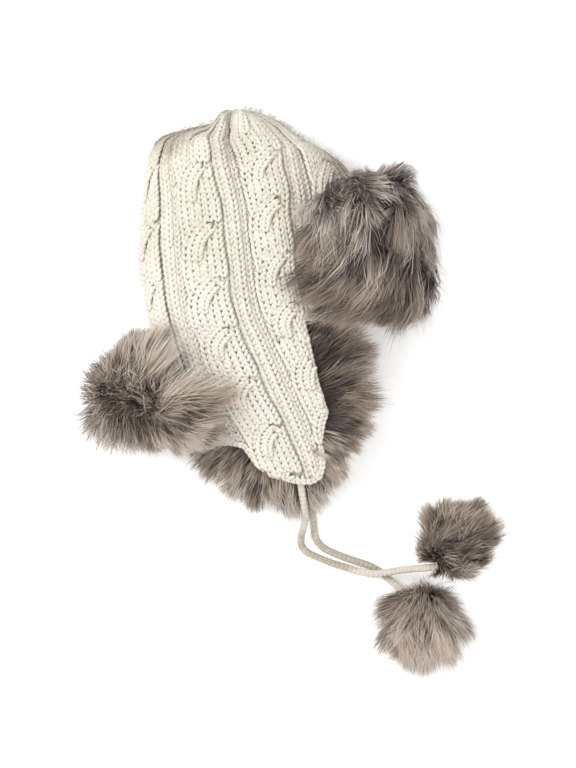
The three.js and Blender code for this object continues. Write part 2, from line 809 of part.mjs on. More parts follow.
function neckFur() {
  const plan = {
    wide: 8,
    tall: 5,
    endPower: 2,
    seat: 0.35,
    stand: 0.6,
    reach: 20,
    width: 19,
    flat: 0.55,
    seed: 17,
    lean: (s, t) => 14 * (t - 0.35),
    flow: (s, t) => new THREE.Vector3(-0.25, 0.8 * (t - 0.4), 0),
    locks: lockRows(5, 4, 0.06),
  };
  const flapSide = boxBetween([NECK_BROW_END, -500, -200], [400, 400, 300]);
  return furCuff(NECK, plan).subtract(flapSide).subtract(floorBelow);
}

// The pieces, each with the finish of the real one
const IVORY = { color: 0xf1ece0, roughness: 0.95, metalness: 0 };
const FUR = { color: 0x94816f, roughness: 0.9, metalness: 0 };
const CREAM = { color: 0xe6dfcd, roughness: 0.9, metalness: 0 };

// The frame's origin is under the middle of the hat without its ties.
const hat = new THREE.Group();
hat.position.set(ORIGIN_SHIFT.x, ORIGIN_SHIFT.y, 0);
const group = new THREE.Group();
group.add(hat);
function place(name, solid, finish) {
  const mesh = new THREE.Mesh(geometryOf(tidied(solid)), new THREE.MeshStandardMaterial(finish));
  mesh.name = name;
  hat.add(mesh);
}

place("crown_knit", knit, IVORY);
place("visor_fur", visorFur(), FUR);
place("neck_fur", neckFur(), FUR);
place("near_flap_fur", flapFur(true), FUR);
place("far_flap_fur", flapFur(false), FUR);
place("near_tie", tie(NEAR_TIE, 0), CREAM);
place("far_tie", tie(FAR_TIE, 0), CREAM);
place("near_pompom", pompom(NEAR_POMPOM, 7), FUR);
place("far_pompom", pompom(FAR_POMPOM, 43), FUR);

export default group;
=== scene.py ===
import math

import bpy
import numpy as np
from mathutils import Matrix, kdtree


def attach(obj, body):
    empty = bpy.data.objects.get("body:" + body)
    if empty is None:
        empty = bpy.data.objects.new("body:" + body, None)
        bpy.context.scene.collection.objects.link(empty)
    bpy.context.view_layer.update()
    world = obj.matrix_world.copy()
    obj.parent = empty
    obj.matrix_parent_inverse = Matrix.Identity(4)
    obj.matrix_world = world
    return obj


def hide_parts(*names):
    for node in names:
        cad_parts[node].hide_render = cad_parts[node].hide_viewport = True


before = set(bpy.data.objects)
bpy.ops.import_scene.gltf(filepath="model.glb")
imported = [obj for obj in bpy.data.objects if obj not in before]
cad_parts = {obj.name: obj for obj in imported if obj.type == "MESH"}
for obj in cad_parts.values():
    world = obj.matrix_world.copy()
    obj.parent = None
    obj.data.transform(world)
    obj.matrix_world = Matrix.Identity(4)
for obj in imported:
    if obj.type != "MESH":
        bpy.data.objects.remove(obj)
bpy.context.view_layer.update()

bl_info = {
    "name": "Cable Knit Trapper Hat",
    "version": (1, 0, 0),
    "blender": (4, 5, 0),
    "location": "View3D > Sidebar > Trapper Hat",
    "description": "Knits a cable knit trapper hat with fur cuffs, ties and pompoms",
    "category": "Add Mesh",
}

# Lengths in the tables and functions are millimetres, which make_mesh shifts and scales into the frame.
MM = 0.001
ORIGIN_SHIFT = np.array((0.5, 4.5, 0.0))
UP = np.array((0.0, 0.0, 1.0))

# The knit's columns are counted in half repeats: 0 is the first rib, 1 the cable towards the brow.
HALF_REPEATS = 18
NAPE = -3.9
BROW = 5.1
WALL = 6.0
# Where between sole and top a section is widest, and the powers that round its two halves
WIDEST_SHARE = 0.42
NEAR_POWER = 2.4
FAR_POWER = 2.8
ARC_STEPS = 48
# How much wider than on average a half repeat may be beside column 0
MOST_SPREAD = 1.9
# How far the fur's underside lies from the middle of the knit's wall
FUR_SEAT = 6.7

# Sections up the hat: y, x of nape and of brow, heights of top and sole, the share of the way from nape to
# brow at which column 0 lies, and the width of a half repeat beside it towards the nape and the brow
SECTIONS = np.array(
    [
        (-215, -50, 120, 46, 0, 0.714, 30, 30),
        (-190, -56, 120, 50, 0, 0.69, 32, 32),
        (-165, -62, 120, 55, 0, 0.658, 34, 34),
        (-135, -70, 120, 61, 0, 0.622, 36, 35),
        (-110, -78, 120, 68, 0, 0.589, 39, 37),
        (-85, -86, 120, 77, 0, 0.554, 42.5, 38.5),
        (-55, -92, 120, 88, 0, 0.511, 43.5, 38.5),
        (-25, -99, 120, 97, 0, 0.476, 42, 37.5),
        (-3, -105, 120, 103, 0, 0.453, 39.5, 36),
        (25, -111, 121, 107, 0, 0.443, 37.5, 34.5),
        (55, -115, 120, 109, 0, 0.441, 36.8, 33.5),
        (85, -114, 118, 109, 0, 0.43, 36.5, 33),
        (115, -111, 108, 108, 0, 0.424, 35.5, 35.3),
        (147, -108, 86, 104, 0, 0.421, 34, 38.7),
        (162, -103, 69, 99, 3, 0.425, 31.5, 40.5),
        (176, -97, 45, 91, 9, 0.44, 28, 37),
        (186, -88, 30, 83, 17, 0.444, 23, 33),
        (193, -76, 21, 75, 26, 0.436, 19, 26),
        (199, -60, 9, 67, 36, 0.42, 14, 18),
        (203, -42, -6, 60, 45, 0.43, 8, 9),
        (205, -26, -21, 55, 51, 0.43, 2, 2),
    ],
    dtype=float,
)
TOP_ROW = len(SECTIONS) - 1

# column, y of the lower edge
RIM = np.array(
    [
        (-3.9, -127),
        (-2.1, -127),
        (-1.72, -130),
        (-1.55, -150),
        (-1.3, -159),
        (-0.6, -166),
        (-0.2, -166),
        (0.1, -161),
        (0.34, -150),
        (0.5, -125),
        (0.75, -108),
        (0.95, -98),
        (1.03, -70),
        (1.2, -42),
        (1.35, -20),
        (1.5, -2),
        (2.2, 4),
        (3.2, 0),
        (5.1, -3),
    ]
)
# row, depth of the fold, height of the bulge beside it
FOLD = np.array(
    [
        (4, 1, 0),
        (8, 3, 1),
        (10, 4, 1.5),
        (12, 7, 3),
        (14, 12, 4),
        (16, 15, 4),
        (18, 9, 2),
        (20, 0, 0),
    ]
)
# The columns where the fold and the bulge lie, and how wide they are
FOLD_COLUMN = 0.42
FOLD_WIDTH = 0.42
BULGE_COLUMN = 1.3
BULGE_WIDTH = 0.7
# The crown's top droops towards the nape: by how much, and the x and y over which that comes in
NAPE_DROOP = 13
NAPE_DROOP_X = (-48, -30)
NAPE_DROOP_Y = (165, 203)
# Where a cuff lies under the hat it lifts the knit: columns, rows, softness across, lift
CUFF_LIFTS = ((4.9, 8.1, 8, 12.5, 1.2, 17), (13.0, 14.6, 3, 7.5, 0.8, 15))
LIFT_ROW_SOFTNESS = 1.5
# The height at which nothing is lifted any more
LIFT_REACH = 45

# The fur cuffs: the columns and rows that each covers, its thickness in the middle and at the edges, how
# square its ends are, how far its face leans up the hat from one edge to the other, and where it doesn't
VISOR = {
    "from": 2.3,
    "to": 7.9,
    "low": 8.4,
    "high": 12.25,
    "thick": 61,
    "edge": 15,
    "end_power": 2.6,
    "lean": 12,
    "level": 0.45,
    "strands": 38000,
    "locks": (150, 1500),
    "seed": 31,
}
NECK = {
    "from": -5.7,
    "to": -2.1,
    "low": 3.6,
    "high": 6.9,
    "thick": 66,
    "edge": 13,
    "end_power": 2,
    "lean": 14,
    "level": 0.35,
    "strands": 24500,
    "locks": (80, 800),
    "seed": 32,
}
CUFF_FACE_POWER = 2.6
# Shares of a cuff's thickness at which the pad under its fur starts and ends
CUFF_PAD = (0.04, 0.6)

FLAP_FURS = (
    {"name": "near_flap_fur", "near": True, "thick": 13, "strands": 16000, "seed": 41},
    {"name": "far_flap_fur", "near": False, "thick": 10, "strands": 8000, "seed": 42},
)
FLAP_MIDDLE = (26, -112)
# Shares of the fur's reach at which the outermost strands root and the pad ends
FLAP_ROOTS = 0.76
FLAP_PAD = 0.72
# direction in degrees, reach of the flap's fur
FLAP_REACHES = np.array(
    [
        (0, 84),
        (12, 94),
        (24, 103),
        (36, 100),
        (45, 124),
        (60, 122),
        (90, 120),
        (120, 70),
        (145, 70),
        (160, 88),
        (180, 94),
        (204, 96),
        (222, 92),
        (242, 83),
        (262, 80),
        (279, 101),
        (292, 93),
        (310, 85),
        (328, 80),
        (347, 76),
        (360, 84),
    ]
)

TIE_WIDTH = 8.0
TIE_COLUMNS = 7
TIE_PITCH = 4.6
TIE_YARN = 1.25
# The lengths along a tie between which it lies in shade, and how softly that comes in
TIE_SHADED = (66, 128, 18)
# Points of each tie's route
NEAR_TIE = [
    (44.5, -168.2, 47),
    (45.5, -174, 46),
    (46.5, -181, 44),
    (48, -190, 40),
    (49, -199, 34),
    (49, -208, 26),
    (47, -216, 17),
    (45.2, -224, 9),
    (45.5, -232, 4.6),
    (50, -238.5, 4),
    (60, -243.5, 4),
    (76, -250, 4),
    (93, -255.4, 4.5),
    (106, -259, 7.5),
    (119, -260.6, 12),
    (131, -259.2, 15),
    (145, -256.5, 20),
    (159, -254.6, 29),
    (172, -253.2, 38),
    (184, -252, 44),
]
FAR_TIE = [
    (44.5, -168.5, 4),
    (48, -176, 4),
    (52, -186, 4),
    (55.5, -197, 4),
    (57.8, -209, 4),
    (59, -220, 4),
    (61.5, -228, 4),
    (67.5, -234.5, 4),
    (77, -239.4, 4),
    (90, -244.6, 4),
    (104, -249.2, 4),
    (116, -253.6, 4),
    (127, -260.3, 4),
    (136, -268, 5.5),
    (145, -275.5, 12),
    (153, -281.5, 22),
]
# name, route, seed
TIES = (("near_tie", NEAR_TIE, 11), ("far_tie", FAR_TIE, 12))

POMPOMS = (
    {
        "name": "near_pompom",
        "middle": (197, -230, 41),
        "reach": 49,
        "stream": (0.35, 0.45, 0.1),
        "tone": 0.22,
        "seed": 51,
    },
    {
        "name": "far_pompom",
        "middle": (168, -300, 37),
        "reach": 59,
        "stream": (-0.05, -0.7, 0.0),
        "tone": 0.62,
        "seed": 52,
    },
)
# The count of strands, and the radius of the pad that they grow from
POMPOM_STRANDS = 11800
POMPOM_CORE = 22

# Stitches: widths are shares of a half repeat, lengths millimetres
ROW_PITCH = 5.5
FINE_PITCH = 0.8
RIB_COLUMN = 0.215
RIB_HALF = 0.34
CABLE_COLUMN = 0.195
CABLE_STITCH = 1.08 * CABLE_COLUMN
CABLE_HALF = 0.62
GUTTER_PLACE = 0.37
STRAND_OFFSET = 0.3
CROSSING_ZONE = 0.36
FRONT_HALF = 0.29
CREASE_WIDTH = 4.5
# How far stitches keep from the rim and from the gathered top, in rows of the section table
RIM_MARGIN = 0.02
TOP_MARGIN = 0.3
# Heights y of the crossings of the cable at column -1 and of the one at column 1
CROSSINGS = {
    -1: (238, 187, 130, 70, 17, -28, -78, -127, -176),
    1: (240, 192, 145, 98, 45, -7, -58, -110, -160),
}
# The width of a half repeat from which the knit stands up in full, and how much it does at the least
FULL_RELIEF_WIDTH = 34
LEAST_RELIEF = 0.35
# The shares of a stitch's leg between which it is full yarn
LEG_SPAN = (0.07, 0.93)
LEG_LENGTH = 1.55 * ROW_PITCH
BAR_REACH = 3.0
EDGE_PITCH = 5.2
EDGE_REACH = 0.72
FUZZ_COUNT = 6000
PLY_TURNS = 9.0
KNIT_SEED = 21

# Each tint or tone has its own strip of the UV map, and a strand lies in the middle of it
TINTS = 64
STRIP_LOW = 0.2
STRIP_WIDTH = 0.6
ROOT_V = 0.02
TIP_V = 0.98
# Places along a strand's colours that a fur pad, the knit's backing and a tie's core show: start and step
PAD_V = (0.04, 0.1)
# The knit's backing shows the dark end of the yarn's ramp: painted shade in the gaps between the stitches.
BACKING_V = (0.02, 0.04)
CORE_V = (0.25, 0.5)

# The longer, thinner and paler hairs among the fur, and how far tones differ by lock and by strand
GUARD_SHARE = 0.2
GUARD_LENGTH = 1.32
GUARD_WIDTH = 0.55
GUARD_PALER = 0.35
GUARD_STRAY = 0.14
STRAY = 0.06
TONE_SPREADS = {"large": 0.2, "small": 0.15, "strand": 0.1}
SMALL_SWIRL = 0.12
# Shares of a strand's length and width at its points
STATIONS = (0, 0.34, 0.7, 1.0)
STATION_WIDTHS = (0.9, 1.0, 0.6, 0)
WIDTH_RANGE = (0.7, 1.25)
CUFF_LENGTHS = (24, 44)
# How near to a tie's line a strand may come, and how far under it it must lie to do so
TIE_CLEARANCE = 5.5
TIE_DEPTH = 5
LEAST_HEIGHT = 0.4
# No strand of fur stands out past these corners
FUR_LOW = np.array((-198.0, -381.0, 0.0))
FUR_HIGH = np.array((263.5, 234.0, 167.5))

# The stage is in metres, but for the camera's aim and its sensor, which are in millimetres
CAMERA_AIM = np.array((32.0, -69.0, 50.0))
CAMERA_DISTANCE = 4.0
VIEW_HEIGHT = 0.768
SENSOR_WIDTH = 36
FLOOR_REACH = 6.0
FLOOR_ROUGHNESS = 0.9
FLOOR_GLOW = 0.22
# name, place, share of the key light's power, size
LIGHTS = (("key_light", (-1.4, 0.5, 2.0), 1, 1.3), ("fill_light", (1.2, -1.2, 1.8), 0.35, 1.6))


def ramp(low, high, value):
    """0 up to low, 1 from high, and a smooth rise between."""
    t = np.clip((value - low) / (high - low), 0, 1)
    return t * t * (3 - 2 * t)


def plateau(value, low, high, soft):
    """1 from low to high, easing to 0 over soft on each side."""
    return ramp(low - soft, low, value) * (1 - ramp(high, high + soft, value))


def bell(value, middle, width):
    """1 at the middle, falling away to 0 on both sides."""
    return np.exp(-(((value - middle) / width) ** 2))


def length_along(line):
    """The length along a line of points to each of them."""
    return np.concatenate(([0], np.cumsum(np.linalg.norm(np.diff(line, axis=0), axis=-1))))


def wrapped(column):
    """The same columns counted once round the hat, from the nape."""
    return (column - NAPE) % HALF_REPEATS + NAPE


def unit(vectors):
    """The vectors at length 1."""
    length = np.linalg.norm(vectors, axis=-1, keepdims=True)
    return vectors / np.maximum(length, 1e-9)


def section_at(position):
    """Rows of the section table at fractional positions, by a curve through them."""
    at = np.clip(np.atleast_1d(position).astype(float), 0, TOP_ROW)
    i = np.minimum(at.astype(int), TOP_ROW - 1)
    t = (at - i)[:, None]
    before = SECTIONS[np.maximum(i - 1, 0)]
    here = SECTIONS[i]
    after = SECTIONS[i + 1]
    beyond = SECTIONS[np.minimum(i + 2, TOP_ROW)]
    slope_here = (after - before) / 2
    slope_after = (beyond - here) / 2
    rise = after - here
    bend = 2 * slope_here + slope_after
    return here + t * (slope_here + t * (3 * rise - bend + t * (slope_here + slope_after - 2 * rise)))


def half_arc(section, near):
    """Half of a section from nape to brow: x, z and the length along it."""
    _, nape, brow, top, sole = section[:5]
    widest = sole + WIDEST_SHARE * (top - sole)
    power = 2 / (NEAR_POWER if near else FAR_POWER)
    angle = np.linspace(0, math.pi, ARC_STEPS + 1)
    across = np.cos(angle)
    x = (nape + brow) / 2 - np.sign(across) * (brow - nape) / 2 * np.abs(across) ** power
    z = widest + ((top if near else sole) - widest) * np.clip(np.sin(angle), 0, 1) ** power
    length = np.concatenate(([0], np.cumsum(np.hypot(np.diff(x), np.diff(z)))))
    return x, z, length


def column_share(section, length, column):
    """The share of the way from nape to brow at which each column lies."""
    share, nape_pitch, brow_pitch = section[5:8]
    start = min(MOST_SPREAD, nape_pitch * -NAPE / (share * length))
    t = np.clip(column / NAPE, 0, 1)
    towards_nape = share * (1 - t * (start + (1 - start) * t))
    start = min(MOST_SPREAD, brow_pitch * BROW / ((1 - share) * length))
    t = np.clip(column / BROW, 0, 1)
    towards_brow = share + (1 - share) * t * (start + (1 - start) * t)
    return np.where(column < 0, towards_nape, towards_brow)


class Body:
    """The middle surface of the hat as a fine grid that is looked up by column and row."""

    column_step = 0.05
    row_step = 0.05

    def __init__(self):
        count = round(HALF_REPEATS / self.column_step)
        self.columns = NAPE + self.column_step * np.arange(count)
        self.rows = np.arange(0, TOP_ROW + self.row_step / 2, self.row_step)
        sections = section_at(self.rows)
        self.heights = sections[:, 0]
        near = self.columns <= BROW
        side = np.where(near, self.columns, 2 * BROW - self.columns)
        around_far = np.where(self.columns < 0, self.columns + HALF_REPEATS, self.columns)
        points = np.zeros((count, len(self.rows), 3))
        for j, section in enumerate(sections):
            near_x, near_z, near_length = half_arc(section, True)
            far_x, far_z, far_length = half_arc(section, False)
            share = column_share(section, near_length[-1], side)
            at_near = share * near_length[-1]
            at_far = share * far_length[-1]
            x = np.where(near, np.interp(at_near, near_length, near_x), np.interp(at_far, far_length, far_x))
            z = np.where(near, np.interp(at_near, near_length, near_z), np.interp(at_far, far_length, far_z))
            for low, high, row_low, row_high, soft, lift in CUFF_LIFTS:
                rows_under = plateau(self.rows[j], row_low, row_high, LIFT_ROW_SOFTNESS)
                under = plateau(around_far, low, high, soft) * rows_under
                z = z + lift * under * np.clip(1 - z / LIFT_REACH, 0, 1)
            nape_side = 1 - ramp(*NAPE_DROOP_X, x)
            y = section[0] - NAPE_DROOP * nape_side * ramp(*NAPE_DROOP_Y, section[0])
            points[:, j] = np.stack((x, y, z), axis=-1)
        self.points = points
        around = np.roll(points, -1, axis=0) - np.roll(points, 1, axis=0)
        along = np.gradient(points, axis=1)
        self.normals = unit(np.cross(around, along))
        self.across_scale = np.linalg.norm(around, axis=-1) / (2 * self.column_step)
        self.along_scale = np.linalg.norm(along, axis=-1) / self.row_step

    def look_up(self, grid, column, row):
        at = ((column - NAPE) % HALF_REPEATS) / self.column_step
        up = np.clip(row, 0, TOP_ROW) / self.row_step
        i = np.floor(at).astype(int)
        j = np.minimum(np.floor(up).astype(int), len(self.rows) - 2)
        s = at - i
        t = up - j
        if grid.ndim == 3:
            s = s[..., None]
            t = t[..., None]
        count = len(self.columns)
        i0 = i % count
        i1 = (i + 1) % count
        low = grid[i0, j] * (1 - s) + grid[i1, j] * s
        high = grid[i0, j + 1] * (1 - s) + grid[i1, j + 1] * s
        return low * (1 - t) + high * t

    def point(self, column, row, height):
        """Points a given height above the folded knit."""
        column = np.asarray(column, dtype=float)
        row = np.asarray(row, dtype=float)
        normal = unit(self.look_up(self.normals, column, row))
        rise = fold_rise(column, row) + height
        place = self.look_up(self.points, column, row) + normal * np.asarray(rise)[..., None]
        return place, normal

    def row_of(self, y):
        return np.interp(y, self.heights, self.rows)

    def height_of(self, row):
        return np.interp(row, self.rows, self.heights)

    def rim_row(self, column):
        turn = wrapped(np.asarray(column))
        side = np.where(turn <= BROW, turn, 2 * BROW - turn)
        return self.row_of(np.interp(side, RIM[:, 0], RIM[:, 1]))


def fold_rise(column, row):
    """How far the knit bulges beside the fold along its near side, less how deep the fold is."""
    turn = wrapped(column)
    depth = np.interp(row, FOLD[:, 0], FOLD[:, 1])
    bulge = np.interp(row, FOLD[:, 0], FOLD[:, 2])
    return bulge * bell(turn, BULGE_COLUMN, BULGE_WIDTH) - depth * bell(turn, FOLD_COLUMN, FOLD_WIDTH)


def make_mesh(name, points, faces, uv, material, slot, normals=None):
    """A smooth piece of the hat from points in millimetres, riding on the one body."""
    placed = (points + ORIGIN_SHIFT) * MM
    mesh = bpy.data.meshes.new(name)
    mesh.from_pydata(placed.tolist(), [], faces)
    mesh.polygons.foreach_set("use_smooth", np.ones(len(mesh.polygons), dtype=bool))
    corners = np.zeros(len(mesh.loops), dtype=np.int32)
    mesh.loops.foreach_get("vertex_index", corners)
    layer = mesh.uv_layers.new(name="OFBake")
    layer.data.foreach_set("uv", uv[corners].astype(np.float32).ravel())
    if normals is not None:
        mesh.normals_split_custom_set_from_vertices(normals.tolist())
    mesh.materials.append(material)
    mesh.update()
    piece = bpy.data.objects.new(name, mesh)
    bpy.context.scene.collection.objects.link(piece)
    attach(piece, "root")
    return piece


def chequered(across, along, v):
    """UVs of a pad, which alternate from point to point so that no face of it is flat in the UV map."""
    low, step = v
    u = (STRIP_LOW + STRIP_WIDTH * (across % 2)) / TINTS
    return np.stack(np.broadcast_arrays(u, low + step * (along % 2)), axis=-1).reshape(-1, 2)


# Yarn


def spindles(centres, normals, wide, deep, sides, tints, step=None):
    """Closed spindles of yarn: one point at each end and rings of points between them.

    centres and normals are (count, stations, 3), wide and deep (count, stations). step is how far along its
    spindle each station lies, and without it they are evenly spaced.
    """
    count, stations, _ = centres.shape
    along = unit(np.gradient(centres, axis=1))
    side = unit(np.cross(along, normals))
    out = unit(np.cross(side, along))
    turn = 2 * math.pi * np.arange(sides) / sides
    inner = slice(1, stations - 1)
    rings = (
        centres[:, inner, None]
        + side[:, inner, None] * (wide[:, inner, None] * np.cos(turn))[..., None]
        + out[:, inner, None] * (deep[:, inner, None] * np.sin(turn))[..., None]
    )
    ring_count = stations - 2
    per = ring_count * sides + 2
    points = np.concatenate(
        (centres[:, :1], rings.reshape(count, ring_count * sides, 3), centres[:, -1:]), axis=1
    ).reshape(-1, 3)
    if step is None:
        step = np.linspace(0, 1, stations)
    around = 1 - np.abs(2 * (np.arange(sides) / sides) - 1)
    u_ring = np.broadcast_to(STRIP_LOW + STRIP_WIDTH * around, (ring_count, sides)).ravel()
    v_ring = np.repeat(step[1:-1], sides)
    u_one = np.concatenate(([0.5], u_ring, [0.5]))
    v_one = np.concatenate(([ROOT_V], v_ring, [TIP_V]))
    uv = np.stack(
        (
            (tints[:, None] + u_one[None]) / TINTS,
            np.broadcast_to(v_one, (count, per)),
        ),
        axis=-1,
    ).reshape(-1, 2)
    one = []
    last = per - 1
    for k in range(sides):
        after = (k + 1) % sides
        one.append((0, 1 + after, 1 + k))
        for ring in range(ring_count - 1):
            a = 1 + ring * sides
            one.append((a + k, a + after, a + sides + after, a + sides + k))
        a = 1 + (ring_count - 1) * sides
        one.append((a + k, a + after, last))
    faces = []
    for start in range(0, count * per, per):
        faces.extend(tuple(start + corner for corner in face) for face in one)
    return points, faces, uv


class Stitches:
    """Stitches gathered before they are made into meshes: place, turn, height and width of each."""

    names = ("column", "row", "angle", "height", "width")

    def __init__(self):
        self.parts = []

    def add(self, **values):
        count = len(values["column"])
        self.parts.append(np.stack([np.broadcast_to(values[name], count) for name in self.names], axis=-1))

    def add_uneven(self, column, row, angle, height, width, rng):
        """Adds stitches of a cable, each a little out of place."""
        count = len(column)
        self.add(
            column=column + rng.normal(0, 0.005, count),
            row=row + rng.normal(0, 0.008, count),
            angle=angle + rng.normal(0, 0.04, count),
            height=height + rng.normal(0, 0.12, count),
            width=width,
        )

    def all(self):
        return np.concatenate(self.parts)


def column_rows(body, column, spacing):
    """Rows at even lengths up one column of the knit, from the lowest rim beside it to the top."""
    lowest = float(np.min(body.rim_row(column + np.linspace(-CABLE_HALF, CABLE_HALF, 13))))
    fine = np.arange(lowest, TOP_ROW - 0.5, 0.02)
    points = body.look_up(body.points, np.full(len(fine), column), fine)
    length = length_along(points)
    return np.interp(np.arange(0.4 * spacing, length[-1], spacing), length, fine)


def crossing_phase(cable, y):
    """How many crossings a height lies below the topmost one, as a negative number with a share."""
    heights = np.array(CROSSINGS[1 if cable % 4 == 1 else -1], dtype=float)
    counts = np.arange(len(heights), dtype=float)
    return -np.interp(-y, -heights, counts)


def from_crossing(body, cable, row):
    """How far a row is above the crossing nearest to it, as a share of the way between two."""
    phase = crossing_phase(cable, body.height_of(row))
    return phase - np.round(phase)


def front_way(apart):
    """How far aside the front strand lies: it turns sharply above a crossing and eases in below it."""
    t = np.clip((CROSSING_ZONE - apart) / (2 * CROSSING_ZONE), 0, 1)
    return STRAND_OFFSET * (2.1 * (1 - t) ** 2.6 - 1.1)


def cable_top(aside):
    """The rounded height of a cable at a share of a half repeat from its middle."""
    return 1.2 + 1.8 * np.sqrt(np.clip(1 - (aside / 0.72) ** 2, 0, 1))


def in_crossing(apart):
    """1 where a cable's strands cross, easing to 0 between crossings."""
    return plateau(apart, -0.65 * CROSSING_ZONE, 0.75 * CROSSING_ZONE, 0.25 * CROSSING_ZONE)


def smoothed(values, reach):
    """The running mean over reach values on each side."""
    padded = np.concatenate((np.full(reach, values[0]), values, np.full(reach, values[-1])))
    return np.convolve(padded, np.full(2 * reach + 1, 1 / (2 * reach + 1)), mode="valid")


def knitted(body, column, row):
    """Where there is knit for a stitch: above the rim and below the gathered top."""
    return (row > body.rim_row(column) + RIM_MARGIN) & (row < TOP_ROW - TOP_MARGIN)


def add_upright(body, stitches, cable, rng):
    """A cable's strands where they run upright, left out where the strand in front hides them."""
    for side in (-1, 1):
        for place in (-1, 0, 1):
            aside = side * STRAND_OFFSET + place * CABLE_COLUMN
            rows = column_rows(body, cable + aside, ROW_PITCH)
            rows = rows[knitted(body, np.full(len(rows), cable + aside), rows)]
            apart = from_crossing(body, cable, rows)
            pillow = -np.cos(2 * math.pi * apart)
            aside = aside * (1 + 0.05 * pillow)
            from_front = aside - front_way(apart)
            crossing = np.abs(apart) < CROSSING_ZONE
            shown = ~(crossing & (np.abs(from_front) < FRONT_HALF - 0.05))
            rows, apart, from_front = rows[shown], apart[shown], from_front[shown]
            aside, pillow, crossing = aside[shown], pillow[shown], crossing[shown]
            columns = cable + aside
            beside = np.maximum(0, from_front - FRONT_HALF) * body.look_up(body.across_scale, columns, rows)
            crease = np.exp(-((beside / CREASE_WIDTH) ** 2)) * (from_front > 0) * crossing
            under = 1.2 * in_crossing(apart) * (from_front < 0)
            height = cable_top(aside) + 0.8 * pillow - 3.0 * crease - 0.6 * under
            stitches.add_uneven(columns, rows, 0, height, CABLE_STITCH, rng)


def add_front(body, stitches, cable, rng):
    """The strand in front at each crossing, evenly stitched along its slanting way."""
    rows = column_rows(body, float(cable), FINE_PITCH)
    middle = np.full(len(rows), float(cable))
    across_mm = body.look_up(body.across_scale, middle, rows)
    along_mm = body.look_up(body.along_scale, middle, rows)
    apart = from_crossing(body, cable, rows)
    offset = smoothed(front_way(apart), 3)
    shift = offset * across_mm
    turn = np.arctan2(np.gradient(shift), FINE_PITCH)
    steps = np.hypot(np.diff(shift), FINE_PITCH)
    length = np.concatenate(([0], np.cumsum(steps)))
    at = np.arange(0.5 * ROW_PITCH, length[-1], ROW_PITCH)
    row, offset, angle, apart, across_mm, along_mm = (
        np.interp(at, length, values) for values in (rows, offset, turn, apart, across_mm, along_mm)
    )
    squeeze = 0.68 + 0.32 * np.cos(angle)
    for place in (-1, 0, 1):
        sideways = place * CABLE_COLUMN * across_mm * squeeze
        columns = cable + offset + sideways * np.cos(angle) / across_mm
        rows_here = row - sideways * np.sin(angle) / along_mm
        height = cable_top(columns - cable) + (1.3 + 1.0 * place) * in_crossing(apart) - 0.9 * place**2
        keep = (np.abs(apart + 0.03) < CROSSING_ZONE + 0.03) & knitted(body, columns, rows_here)
        width = CABLE_STITCH * squeeze[keep]
        stitches.add_uneven(columns[keep], rows_here[keep], angle[keep], height[keep], width, rng)


def gather_stitches(body, rng):
    """Every stitch of the hat: ribs of three columns, and cables of two strands of three."""
    ribs = Stitches()
    cables = Stitches()
    for repeat in range(HALF_REPEATS // 2):
        centre = 2 * repeat - 2
        for place in (-1, 0, 1):
            column = centre + place * RIB_COLUMN
            rows = column_rows(body, column, ROW_PITCH)
            rows = rows + rng.normal(0, 0.01, len(rows))
            columns = np.full(len(rows), column) + rng.normal(0, 0.006, len(rows))
            keep = rows > body.rim_row(columns) + RIM_MARGIN
            ribs.add(
                column=columns[keep],
                row=rows[keep],
                angle=rng.normal(0, 0.04, keep.sum()),
                height=0.4 - 1.9 * abs(place) + rng.normal(0, 0.15, keep.sum()),
                width=RIB_COLUMN,
            )
        add_upright(body, cables, centre + 1, rng)
        add_front(body, cables, centre + 1, rng)
    return ribs.all(), cables.all()


def stitch_legs(body, stitches, stations, sides, yarn, rng):
    """The two legs of each stitch's V as spindles of yarn on the surface."""
    column, row, angle, height, width = stitches.T
    across_mm = np.maximum(body.look_up(body.across_scale, column, row), 1.0)
    along_mm = np.maximum(body.look_up(body.along_scale, column, row), 1.0)
    width_mm = width * across_mm
    t = np.concatenate(([0], np.linspace(*LEG_SPAN, stations - 2), [1]))[None]
    bow = 4 * t * (1 - t)
    centres = []
    normals = []
    for side in (-1, 1):
        u = side * width_mm[:, None] * (0.03 + 0.43 * np.sin(0.5 * math.pi * t) ** 1.1)
        v = LEG_LENGTH * (t - 0.44)
        turned_u = u * np.cos(angle)[:, None] + v * np.sin(angle)[:, None]
        turned_v = -u * np.sin(angle)[:, None] + v * np.cos(angle)[:, None]
        lift = (height[:, None] + 0.9 * bow - 1.9 + 1.0 * (1 - t)) * relief(body, column, row)[:, None]
        place, normal = body.point(
            column[:, None] + turned_u / across_mm[:, None],
            row[:, None] + turned_v / along_mm[:, None],
            lift,
        )
        place[..., 2] = np.maximum(place[..., 2], yarn * 0.95)
        centres.append(place)
        normals.append(normal)
    slim = np.minimum(yarn, 0.34 * np.concatenate((width_mm, width_mm)))[:, None]
    size = slim * (0.62 + 0.38 * bow**0.6)
    # Each leg takes its stitch's random tone and painted shade.
    tints = yarn_tone_and_shade(np.concatenate((column, column)), np.concatenate((row, row)), rng)
    return spindles(np.concatenate(centres), np.concatenate(normals), size, size * 0.92, sides, tints, t[0])


def shoulders(column, row):
    """Where the crown's top carries painted shade and longer fuzz: all round except in the middle."""
    turn = wrapped(column)
    left = ramp(0.5, 1.8, -turn) * ramp(12.6, 15.4, row)
    right = ramp(2.4, 4.2, turn) * ramp(10.8, 13.2, row) * (1 - ramp(6.0, 8.0, turn))
    return left + right


